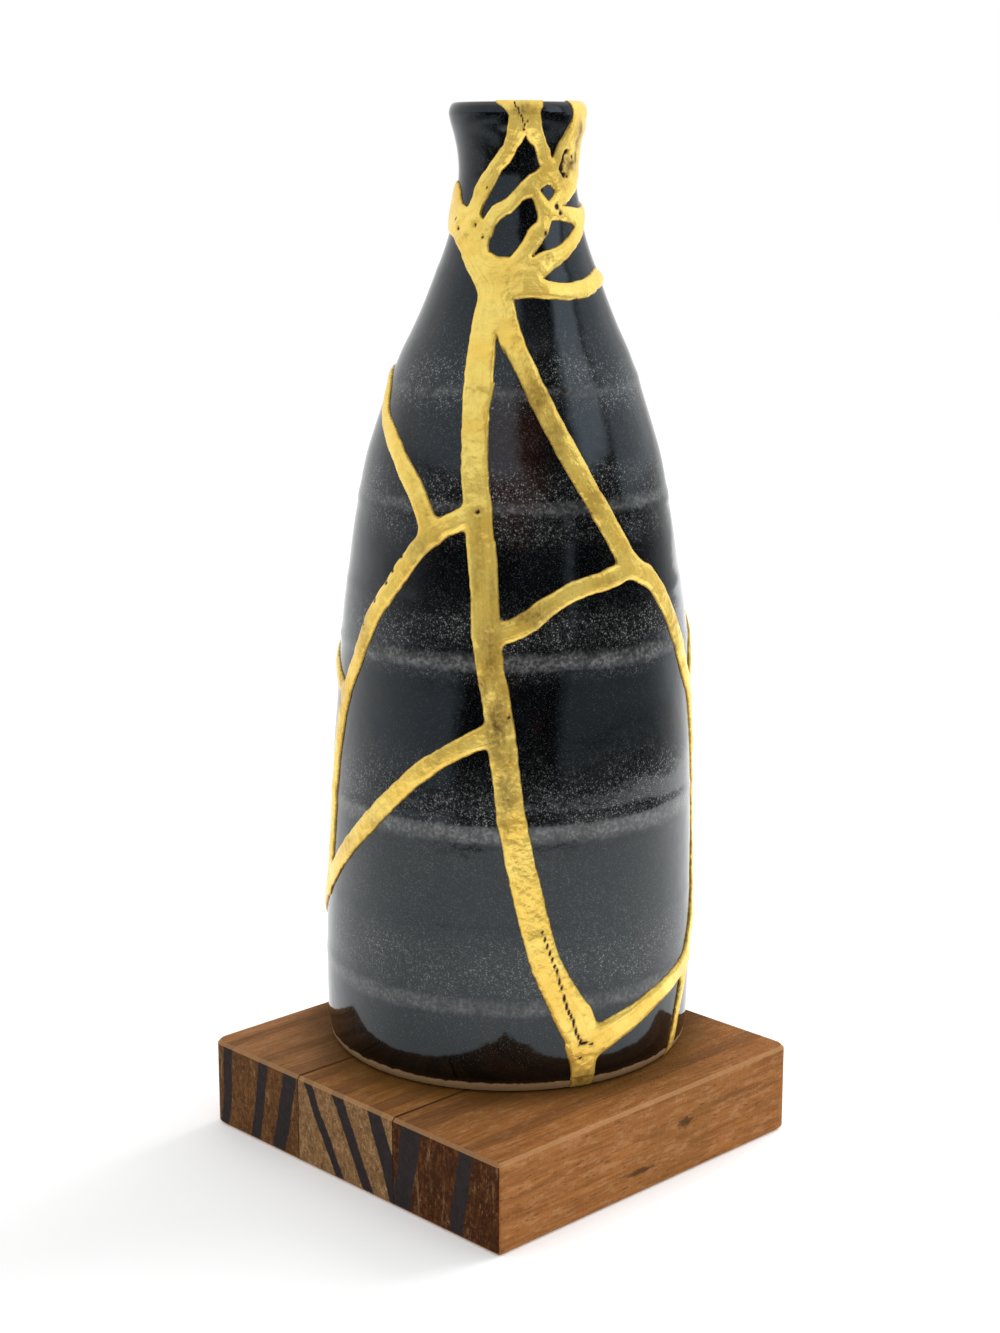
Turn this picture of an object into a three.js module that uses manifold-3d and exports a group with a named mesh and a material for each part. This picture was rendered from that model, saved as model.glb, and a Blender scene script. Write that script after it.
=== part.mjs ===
// Stoneware bottle vase mended with gold seams, on a wood block glued up from three staves.
// Millimetres and degrees, +Z up. The origin is the middle of the footprint, on the underside.
import * as THREE from 'three';
import { mergeVertices } from 'three/addons/utils/BufferGeometryUtils.js';
import Module from 'manifold-3d';

const wasm = await Module();
wasm.setup();

// Wood block, its grain along X
const blockLength = 100;
const blockHeight = 21.8;
const frontStaveDepth = 35;
const middleStaveDepth = 34;
const backStaveDepth = 33.4;
const sharpCorner = 1;
const wornCorner = 3.5;
const easedEdge = 0.8;

// Vase body: outer radii and the wall
const vaseHeight = 225.8;
const bellyRadius = 45.5;
const footTuck = 1.2;
const shoulderRadius = 37.5;
const neckRadius = 13.7;
const lipRadius = 16;
const lipRound = 1.3;
const footBevel = 1.2;
const footWall = 4.4;
const lipWall = 3;
const floorThickness = 6;
const floorRound = 6;

// Where the vase stands on the block, which way its front looks and how far its mouth leans
const seatX = 9.2;
const seatY = 7.2;
const frontHeading = -134.2;
const mouthLean = 2.3;

// Gold seams: a crowned band outside, tapering between the bevelled breaks to a thin line inside
const bandCrown = 0.9;
const bandEdge = 0.3;
const fillWidth = 0.8;
const fillPastWall = 3;

// Clearance between pieces that touch
const gap = 0.3;

// Fineness of the facets
const outerFacets = 36;
const innerFacets = 24;
const innerRings = 9;
const roundSteps = 2;
const seamStep = 13;
const seamTurn = 26;

const clayColour = 0x2b2f33;
const goldColour = 0xd9b552;
const woodColour = 0x8f6a44;

const degree = Math.PI / 180;
const blockDepth = frontStaveDepth + middleStaveDepth + backStaveDepth;
const footRadius = bellyRadius - footTuck;

function between(from, to, share) {
  return from + (to - from) * share;
}

// Outer profile: share of the height, radius
const profile = [
  [0.000, footRadius],
  [0.025, between(footRadius, bellyRadius, 0.75)],
  [0.100, bellyRadius],
  [0.240, between(bellyRadius, shoulderRadius, 0.15)],
  [0.370, between(bellyRadius, shoulderRadius, 0.30)],
  [0.480, between(bellyRadius, shoulderRadius, 0.57)],
  [0.576, shoulderRadius],
  [0.630, between(shoulderRadius, neckRadius, 0.08)],
  [0.690, between(shoulderRadius, neckRadius, 0.26)],
  [0.740, between(shoulderRadius, neckRadius, 0.41)],
  [0.790, between(shoulderRadius, neckRadius, 0.62)],
  [0.840, between(shoulderRadius, neckRadius, 0.81)],
  [0.885, between(shoulderRadius, neckRadius, 0.94)],
  [0.930, neckRadius],
  [0.962, between(neckRadius, lipRadius, 0.33)],
  [0.990, lipRadius],
];

// Radius of the outer face at a share of the height, on a smooth curve through the profile
function radiusAt(share) {
  const last = profile.length - 1;
  if (share <= profile[0][0]) return profile[0][1];
  if (share >= profile[last][0]) return profile[last][1];
  let i = 0;
  while (profile[i + 1][0] < share) i += 1;
  const slope = (k) => {
    const [before, after] = [profile[Math.max(k - 1, 0)], profile[Math.min(k + 1, last)]];
    return (after[1] - before[1]) / (after[0] - before[0]);
  };
  const span = profile[i + 1][0] - profile[i][0];
  const t = (share - profile[i][0]) / span;
  const [t2, t3] = [t * t, t * t * t];
  return (2 * t3 - 3 * t2 + 1) * profile[i][1] + (t3 - 2 * t2 + t) * span * slope(i)
    + (3 * t2 - 2 * t3) * profile[i + 1][1] + (t3 - t2) * span * slope(i + 1);
}

// Point of the outer profile and its outward normal, both as (radius, height)
function profilePoint(share) {
  const step = 0.004;
  const rise = 2 * step * vaseHeight;
  const run = radiusAt(share + step) - radiusAt(share - step);
  const normal = new THREE.Vector2(rise, -run).normalize();
  return { point: new THREE.Vector2(radiusAt(share), share * vaseHeight), normal };
}

function wallAt(share) {
  return between(footWall, lipWall, THREE.MathUtils.clamp(share, 0, 1));
}

// Solids from closed meshes and back
function toSolid(geometry) {
  geometry.deleteAttribute('normal');
  geometry.deleteAttribute('uv');
  const merged = mergeVertices(geometry, 1e-5);
  const vertProperties = new Float32Array(merged.attributes.position.array);
  const triVerts = new Uint32Array(merged.index.array);
  return new wasm.Manifold(new wasm.Mesh({ numProp: 3, vertProperties, triVerts }));
}

function toGeometry(solid) {
  const mesh = solid.getMesh();
  const geometry = new THREE.BufferGeometry();
  geometry.setAttribute('position', new THREE.BufferAttribute(mesh.vertProperties, 3));
  geometry.setIndex(new THREE.BufferAttribute(mesh.triVerts, 1));
  geometry.computeVertexNormals();
  return geometry;
}

function joined(solids) {
  return solids.reduce((sum, next) => sum.add(next));
}

function box(width, depth, height, x, y, z) {
  return toSolid(new THREE.BoxGeometry(width, depth, height).translate(x, y, z));
}

function turnedSolid(points, facets) {
  return toSolid(new THREE.LatheGeometry(points, facets).rotateX(Math.PI / 2));
}

// Vase body before it broke: a turned solid less its cavity
function outerSolid() {
  const bevel = footBevel / vaseHeight;
  const points = [
    new THREE.Vector2(0, 0),
    new THREE.Vector2(footRadius - footBevel, 0),
    new THREE.Vector2(radiusAt(bevel), footBevel),
  ];
  for (const [share, radius] of profile) {
    if (share > bevel) points.push(new THREE.Vector2(radius, share * vaseHeight));
  }
  for (let i = 0; i <= roundSteps; i += 1) {
    const angle = (i / roundSteps) * 90 * degree;
    const radius = lipRadius - lipRound * (1 - Math.cos(angle));
    points.push(new THREE.Vector2(radius, vaseHeight - lipRound * (1 - Math.sin(angle))));
  }
  points.push(new THREE.Vector2(0, vaseHeight));
  return turnedSolid(points, outerFacets);
}

function cavitySolid() {
  const aboveMouth = 3;
  const floorTop = floorThickness + floorRound;
  const floorEdge = radiusAt(floorTop / vaseHeight) - footWall;
  const points = [new THREE.Vector2(0, floorThickness)];
  for (let i = 0; i <= roundSteps; i += 1) {
    const angle = (i / roundSteps) * 90 * degree;
    const radius = floorEdge - floorRound * (1 - Math.sin(angle));
    points.push(new THREE.Vector2(radius, floorTop - floorRound * Math.cos(angle)));
  }
  const to = 1 - 2 * lipRound / vaseHeight;
  for (let i = 1; i <= innerRings; i += 1) {
    const share = between(floorTop / vaseHeight, to, i / innerRings);
    const { point, normal } = profilePoint(share);
    points.push(point.addScaledVector(normal, -wallAt(share)));
  }
  const mouth = lipRadius - lipWall + lipRound / 2;
  points.push(new THREE.Vector2(mouth, vaseHeight));
  points.push(new THREE.Vector2(mouth, vaseHeight + aboveMouth));
  points.push(new THREE.Vector2(0, vaseHeight + aboveMouth));
  return turnedSolid(points, innerFacets);
}

// Places on the vase: degrees round from the front, share of the height
const neckFork = [6, 0.974];
const neckLeft = [-48, 0.877];
const neckRight = [39, 0.930];
const lozengeTip = [34, 0.895];
const lensTip = [78, 0.886];
const collar = [-15, 0.820];
const shoulderFork = [-16, 0.775];
const flankFork = [-13, 0.602];
const flankSplit = [-30, 0.576];
const bellyFork = [-9, 0.478];
const loopFork = [-4, 0.385];
const rightFork = [45, 0.540];
const rightSide = [80, 0.390];
const rightLow = [72, 0.093];
const footFork = [22, 0.046];
const leftFork = [-70, 0.395];
const leftLow = [-79, 0.172];
const backCollar = [-180, 0.912];
const backShoulder = [-185, 0.745];
const backBelly = [-200, 0.465];

// The same place, reached the other way round the vase
function otherWay([angle, share]) {
  return [angle + 360, share];
}

// Ends of the seams that run over the lip and down to the foot, just past the clay
const overLip = 1.012;
const underFoot = -0.012;
const footSeams = [23, 62, 172, -125];

// Every seam as its places in order, each followed by the width of the gold there
const seams = [
  [[...neckFork, 7.4], [3, overLip, 9]],
  [[...neckFork, 4.2], [-8, 0.955, 4], [-25, 0.925, 4], [...neckLeft, 5]],
  [[...neckFork, 4.2], [22, 0.960, 4], [...neckRight, 4.2]],
  [[62, overLip, 6.5], [57, 0.967, 4.4], [...neckRight, 4]],
  [[...neckRight, 3.4], [15, 0.923, 3.4], [-10, 0.900, 3.4], [...neckLeft, 4.4]],
  [[8, 0.918, 3], [...lozengeTip, 3.4]],
  [[...neckRight, 3.6], [48, 0.915, 3.6], [...lozengeTip, 3.6]],
  [[...lozengeTip, 3.4], [55, 0.888, 3.4], [...lensTip, 3.6]],
  [[...lozengeTip, 3.6], [16, 0.868, 3.6], [...collar, 6]],
  [[...lensTip, 3.4], [52, 0.865, 3.6], [22, 0.846, 3.6], [...collar, 4.4]],
  [[...collar, 4.6], [10, 0.820, 3.6], [50, 0.816, 3.4], [90, 0.824, 3.4], [150, 0.765, 3.6],
    [...otherWay(backShoulder), 3.8]],
  [[...neckLeft, 6.4], [-32, 0.848, 7.4], [...collar, 7.6]],
  [[...neckLeft, 5], [-80, 0.892, 4], [-130, 0.903, 3.4], [...backCollar, 3.4]],
  [[...backCollar, 3.4], [-282, 0.886, 3.4]],
  [[...backCollar, 3.4], [-184, overLip, 4]],
  [[...backCollar, 3.4], [...backShoulder, 3.8]],
  [[...collar, 8], [...shoulderFork, 8.6], [-17, 0.690, 6.6], [...flankFork, 6.6], [-10, 0.530, 6.6],
    [...bellyFork, 6.6], [...loopFork, 6.6], [0, 0.300, 6.8], [5, 0.221, 7.4], [12, 0.135, 7.4],
    [...footFork, 6.4], [footSeams[0], underFoot, 5.6]],
  [[...shoulderFork, 6], [1, 0.755, 5.4], [8, 0.722, 5.4], [21, 0.651, 5.4], [35, 0.580, 5.4],
    [...rightFork, 5.4], [60, 0.495, 5], [70, 0.425, 4.6], [...rightSide, 4.6]],
  [[...rightSide, 4.6], [84, 0.250, 4.4], [...rightLow, 4.6]],
  [[...rightSide, 4.2], [92, 0.450, 4], [...otherWay(backBelly), 4]],
  [[...rightFork, 4.8], [20, 0.527, 4.5], [...bellyFork, 4.8]],
  [[...flankFork, 4.8], [...flankSplit, 4.6], [-50, 0.507, 4.6], [-60, 0.443, 4.6], [...leftFork, 4.6],
    [-77, 0.280, 4.6], [...leftLow, 4.6]],
  [[...leftFork, 4.2], [-90, 0.423, 4], [...backBelly, 4]],
  [[...flankSplit, 5.4], [-48, 0.647, 4.4], [-74, 0.695, 2.8], [-110, 0.712, 3.2], [...backShoulder, 3.8]],
  [[...loopFork, 5], [-30, 0.335, 4.7], [...leftLow, 4.7]],
  [[...leftLow, 4.2], [-95, 0.130, 4], [footSeams[3], 0.060, 4], [footSeams[3], underFoot, 4]],
  [[...footFork, 5], [42, 0.062, 4.6], [...rightLow, 4.6]],
  [[...rightLow, 3.4], [footSeams[1], 0.040, 2.8], [footSeams[1], underFoot, 2.8]],
  [[...otherWay(backShoulder), 3.8], [170, 0.620, 4], [...otherWay(backBelly), 4]],
  [[...otherWay(backBelly), 4], [166, 0.270, 4], [footSeams[2], 0.060, 4], [footSeams[2], underFoot, 4]],
];

// Places inside the sherds, which name the pieces that the seams part
const sherds = {
  sherd_neck_left: [-90, 0.950],
  sherd_neck_front: [8, 0.943],
  sherd_rim_wedge: [40, 0.975],
  sherd_neck_right: [110, 0.945],
  sherd_neck_lozenge: [31, 0.914],
  sherd_neck_centre: [-10, 0.873],
  sherd_neck_lens: [42, 0.873],
  sherd_collar_right: [100, 0.858],
  sherd_shoulder_left: [-80, 0.800],
  sherd_shoulder_right: [90, 0.650],
  sherd_belly_centre: [8, 0.610],
  sherd_belly_right: [35, 0.300],
  sherd_belly_left: [-35, 0.430],
  sherd_flank_left: [-110, 0.580],
  sherd_lower_left: [-30, 0.150],
  sherd_foot_right: [42, 0.028],
  sherd_back_left: [-130, 0.250],
  sherd_back_right: [115, 0.250],
};

// Point on the outer face of the upright vase, lifted off along its normal, and that normal
function placeOnVase(angle, share, lift = 0) {
  const { point, normal } = profilePoint(share);
  const turn = (frontHeading + angle) * degree;
  const outward = new THREE.Vector3(
    normal.x * Math.cos(turn),
    normal.x * Math.sin(turn),
    normal.y,
  );
  const position = new THREE.Vector3(point.x * Math.cos(turn), point.x * Math.sin(turn), point.y);
  return { position: position.addScaledVector(outward, lift), outward };
}

// Stations along a seam, about one seam step apart, on a smooth curve through its places
function seamStations(places) {
  const curve = new THREE.CatmullRomCurve3(
    places.map(([angle, share, width]) => new THREE.Vector3(angle, share * 100, width)),
  );
  const spans = places.length - 1;
  const stations = [];
  for (let i = 0; i < spans; i += 1) {
    const start = placeOnVase(places[i][0], places[i][1]).position;
    const end = placeOnVase(places[i + 1][0], places[i + 1][1]).position;
    const steps = Math.max(1, Math.round(start.distanceTo(end) / seamStep));
    const turnSteps = Math.ceil(Math.abs(places[i + 1][0] - places[i][0]) / seamTurn);
    const count = Math.max(steps, turnSteps);
    for (let j = 0; j < count; j += 1) stations.push(curve.getPoint((i + j / count) / spans));
  }
  stations.push(curve.getPoint(1));
  return stations.map((station) => ({
    ...placeOnVase(station.x, station.y / 100),
    wall: wallAt(station.y / 100),
    width: station.z,
  }));
}

// Section of the gold: a crowned wedge as (across the seam, off the outer face)
function goldSection(width, wall) {
  const [half, fill] = [width / 2, fillWidth / 2];
  const inside = -wall - fillPastWall;
  return [[-half, bandEdge], [-fill, inside], [fill, inside], [half, bandEdge], [0, bandCrown]];
}

// Section cut from the clay: the same wedge with its clearance, open outwards
function breakSection(width, wall) {
  const [half, fill] = [width / 2, fillWidth / 2];
  const inside = -wall - fillPastWall;
  const spread = (half - fill) / (bandEdge - inside);
  const wide = half + spread * (bandCrown - bandEdge) + gap;
  return [[-wide, bandCrown], [-fill - gap, inside], [fill + gap, inside], [wide, bandCrown]];
}

// Closed sweep of a section along a seam
function sweptSeam(places, section) {
  const stations = seamStations(places);
  const positions = [];
  const index = [];
  const corners = section(1, 1).length;
  stations.forEach((station, i) => {
    const before = stations[Math.max(i - 1, 0)].position;
    const after = stations[Math.min(i + 1, stations.length - 1)].position;
    const along = new THREE.Vector3().subVectors(after, before);
    const across = new THREE.Vector3().crossVectors(along, station.outward).normalize();
    for (const [side, off] of section(station.width, station.wall)) {
      const corner = station.position.clone();
      corner.addScaledVector(across, side);
      corner.addScaledVector(station.outward, off);
      positions.push(corner.x, corner.y, corner.z);
    }
  });
  for (let i = 0; i < stations.length - 1; i += 1) {
    for (let k = 0; k < corners; k += 1) {
      const next = (k + 1) % corners;
      const [a, b] = [i * corners + k, i * corners + next];
      index.push(a, b + corners, b, a, a + corners, b + corners);
    }
  }
  const outline = section(stations[0].width, stations[0].wall);
  const cap = THREE.ShapeUtils.triangulateShape(outline.map(([x, y]) => new THREE.Vector2(x, y)), []);
  const last = (stations.length - 1) * corners;
  for (const [a, b, c] of cap) {
    index.push(a, b, c);
    index.push(last + a, last + c, last + b);
  }
  const geometry = new THREE.BufferGeometry();
  geometry.setAttribute('position', new THREE.Float32BufferAttribute(positions, 3));
  geometry.setIndex(index);
  return toSolid(geometry);
}

// Upright plate through the floor, from the axis out to a seam at the foot
function floorPlate(angle, length, thickness, below, above) {
  const height = above - below;
  const plate = new THREE.BoxGeometry(length, thickness, height);
  plate.translate(length / 2, 0, below + height / 2);
  plate.rotateZ((frontHeading + angle) * degree);
  return toSolid(plate);
}

// Gold and clay
const cavity = cavitySolid();
const margin = 2;
const farAside = 4 * bellyRadius;
const underside = box(farAside, farAside, farAside, 0, 0, -farAside / 2);
const aboveLip = box(farAside, farAside, farAside, 0, 0, vaseHeight + bandEdge + farAside / 2);

const gold = joined([
  ...seams.map((places) => sweptSeam(places, goldSection)),
  ...footSeams.map((angle) => floorPlate(angle, footRadius - footBevel, fillWidth, 0, floorThickness)),
]).subtract(joined([cavity, underside, aboveLip]));

const plateLength = footRadius + margin;
const plateWidth = fillWidth + 2 * gap;
const breaks = joined([
  ...seams.map((places) => sweptSeam(places, breakSection)),
  ...footSeams.map((angle) => (
    floorPlate(angle, plateLength, plateWidth, -margin, floorThickness + margin)
  )),
]);

const clay = outerSolid().subtract(cavity).subtract(breaks).decompose();

// The piece of clay that holds most of a small marker at the sherd's named place
function sherdAt([angle, share]) {
  const { position } = placeOnVase(angle, share, -wallAt(share) / 2);
  const marker = toSolid(new THREE.OctahedronGeometry(wallAt(share) / 2).translate(...position));
  const held = clay.map((piece) => piece.intersect(marker).volume());
  return clay[held.indexOf(Math.max(...held))];
}

// The thrown body leans a little, so every height of it is carried over sideways in proportion
const leanHeading = frontHeading + 90;
const leaning = new THREE.Matrix4().set(
  1, 0, Math.cos(leanHeading * degree) * mouthLean / vaseHeight, 0,
  0, 1, Math.sin(leanHeading * degree) * mouthLean / vaseHeight, 0,
  0, 0, 1, 0,
  0, 0, 0, 1,
);

// Wood block: its plan outline, eased above and below, cut into staves
function blockSolid() {
  const [x, y] = [blockLength / 2, blockDepth / 2];
  const corner = (cx, cy, radius, from) => [cx, cy, radius, from * degree, (from + 90) * degree];
  const plan = new THREE.Shape();
  plan.absarc(...corner(-x + sharpCorner, -y + sharpCorner, sharpCorner, 180));
  plan.absarc(...corner(x - wornCorner, -y + wornCorner, wornCorner, 270));
  plan.absarc(...corner(x - wornCorner, y - wornCorner, wornCorner, 0));
  plan.absarc(...corner(-x + wornCorner, y - wornCorner, wornCorner, 90));
  const geometry = new THREE.ExtrudeGeometry(plan, {
    depth: blockHeight - 2 * easedEdge,
    curveSegments: 3,
    bevelSize: easedEdge,
    bevelOffset: -easedEdge,
    bevelThickness: easedEdge,
    bevelSegments: 1,
  });
  return toSolid(geometry.translate(0, 0, easedEdge));
}

function stave(from, to) {
  const start = from - (from > -blockDepth / 2 ? -gap / 2 : margin);
  const end = to + (to < blockDepth / 2 ? -gap / 2 : margin);
  const slice = box(2 * blockLength, end - start, 2 * blockHeight, 0, (start + end) / 2, blockHeight / 2);
  return blockSolid().intersect(slice);
}

// Middle of the footprint: the vase may reach past the block on the sides it stands near
const middleX = (Math.max(blockLength / 2, seatX + bellyRadius) - blockLength / 2) / 2;
const middleY = (Math.max(blockDepth / 2, seatY + bellyRadius) - blockDepth / 2) / 2;

function finish(colour, roughness, metalness) {
  return new THREE.MeshStandardMaterial({ color: colour, roughness, metalness });
}

function named(name, geometry, material) {
  const mesh = new THREE.Mesh(geometry, material);
  mesh.name = name;
  return mesh;
}

const block = new THREE.Group();
const firstJoint = -blockDepth / 2 + frontStaveDepth;
const secondJoint = firstJoint + middleStaveDepth;
const staves = {
  plinth_stave_front: [-blockDepth / 2, firstJoint],
  plinth_stave_middle: [firstJoint, secondJoint],
  plinth_stave_back: [secondJoint, blockDepth / 2],
};
for (const [name, [from, to]] of Object.entries(staves)) {
  block.add(named(name, toGeometry(stave(from, to)), finish(woodColour, 0.6, 0)));
}

const vase = new THREE.Group();
for (const [name, place] of Object.entries(sherds)) {
  const geometry = toGeometry(sherdAt(place)).applyMatrix4(leaning);
  vase.add(named(name, geometry, finish(clayColour, 0.3, 0)));
}
vase.add(named('gold_seams', toGeometry(gold).applyMatrix4(leaning), finish(goldColour, 0.35, 0.9)));
vase.position.set(seatX, seatY, blockHeight + gap);

const part = new THREE.Group();
part.add(block, vase);
part.position.set(-middleX, -middleY, 0);

export default part;
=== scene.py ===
import bpy
import math
import numpy as np
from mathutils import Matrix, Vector


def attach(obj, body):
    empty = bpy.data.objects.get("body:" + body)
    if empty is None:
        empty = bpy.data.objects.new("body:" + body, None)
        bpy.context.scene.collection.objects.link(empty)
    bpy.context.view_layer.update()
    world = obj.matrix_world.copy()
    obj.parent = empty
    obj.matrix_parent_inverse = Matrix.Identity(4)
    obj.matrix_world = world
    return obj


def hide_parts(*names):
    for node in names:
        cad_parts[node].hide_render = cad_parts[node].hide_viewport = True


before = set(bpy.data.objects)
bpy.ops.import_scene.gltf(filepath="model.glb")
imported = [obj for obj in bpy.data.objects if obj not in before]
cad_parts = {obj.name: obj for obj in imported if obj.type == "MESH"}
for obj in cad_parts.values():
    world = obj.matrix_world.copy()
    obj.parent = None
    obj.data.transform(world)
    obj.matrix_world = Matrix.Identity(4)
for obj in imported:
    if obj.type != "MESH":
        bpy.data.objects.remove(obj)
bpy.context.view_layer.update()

MM = 0.001

# Place and size of the vase, in millimetres
VASE_HEIGHT = 225.8
VASE_X = 6.85
VASE_Y = 6.45
VASE_BASE = 22.1
FRONT_HEADING = math.radians(-134.2)
LEAN_X = 0.717
LEAN_Y = -0.697

# Outer profile of the thrown wall: height above the foot, radius
PROFILE = [
    (0, 44.2), (5.6, 44.85), (12, 45.1), (22, 45.25), (31, 45.2), (42, 44.75), (54, 44.35),
    (65, 44.0), (74, 43.6), (83, 43.1), (96, 42.4), (104, 41.8), (112, 40.8), (119, 39.7),
    (126, 38.7), (133, 37.5), (139, 36.4), (145, 35.0), (151, 33.2), (157, 31.25), (163, 29.3),
    (168.7, 27.1), (174, 24.5), (180, 21.9), (186, 19.6), (191.7, 17.4), (196.5, 15.9),
    (201, 15.1), (206, 14.1), (210, 13.7), (214, 13.9), (218.5, 14.75), (221.5, 15.6),
    (223.2, 15.95),
]

# How far the axis leans to the picture's right: height above the foot, distance
LEAN = [(0, 0.25), (20, 0.4), (45, 0.88), (70, 1.2), (90, 1.62), (100, 1.82), (110, 1.78), (124, 1.65),
        (145, 1.7), (165, 1.95), (180, 2.25), (200, 2.35), (225.8, 2.45)]

# Ridges left by throwing: height above the foot, how far each stands out, half width
RINGS = [(22.5, 0.16, 1.6), (39, 0.08, 1.8), (64.5, 0.18, 1.5), (101.5, 0.18, 1.6), (115, 0.09, 1.4),
         (135, 0.20, 1.6), (163.5, 0.22, 1.7), (188, 0.08, 1.2)]
RING_HOLLOW = 0.45
RING_HOLLOW_REACH = 3.5

# Foot, inner floor and lip
FOOT_FLAT = 42.9
FOOT_BEVEL = 1.4
FOOT_WALL = 4.4
LIP_WALL = 3.0
FLOOR_TOP = 6.0
FLOOR_ROUND = 14.0
FLOOR_FLAT = 34
NECK_WALL = 3.6
WALL_STATIONS = [0, 30, 190]
INNER_LIP_DROP = 1.2
INNER_LIP_RISE = 1.1
LIP_START = 223.2
LIP_HALF_WIDTH = 1.4
LIP_TURN = math.radians(160)

# How unevenly the wall was thrown: rise and size of the waves
WOBBLE_BROAD = (0.10, 26.0)
WOBBLE_FINE = (0.05, 11.0)
SKIN_BACK = 0.08

# Gold: how far it stands on the glaze, and the gap that it fills between the sherds
GOLD_EDGE = 0.07
GOLD_CROWN = 0.72
GOLD_SHOULDER = 1.7
GOLD_EDGE_WAVES = [(0.20, 4.5, 1.3), (0.15, 1.6, 5.1)]
GOLD_FACE_WAVES = [(0.13, 5.5, 2.2), (0.10, 2.2, 4.4)]
GOLD_UNDER_FOOT = 0.12
GOLD_ON_LIP = 0.26
GOLD_BACK = 0.04
FILL_HALF = 1.1
FILL_COVER = 0.5

# Junctions of the seams: angle from the front in degrees, height above the foot
JUNCTIONS = {
    "neckFork": (6, 220.0), "neckLeft": (-46.5, 198.0), "neckRight": (39, 210.0),
    "lozengeTip": (34, 202.1), "lensTip": (78, 200.1), "collar": (-14.4, 185.2),
    "shoulderFork": (-15.5, 175.0), "flankFork": (-12.9, 136.0), "flankSplit": (-29.6, 130.0),
    "bellyFork": (-9, 108.0), "loopFork": (-4, 87.0), "rightFork": (44.2, 122.0),
    "rightSide": (80.5, 88.0), "rightLow": (73, 22.2), "footFork": (23, 10.9),
    "leftFork": (-67.8, 89.2), "leftLow": (-79, 39.6), "backCollar": (-180, 206.0),
    "backShoulder": (-185, 168.2), "backBelly": (-200, 105.0),
    "backShoulderTurned": (175, 168.2), "backBellyTurned": (160, 105.0),
}
OVER_LIP = 300
UNDER_FOOT = -300

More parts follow.
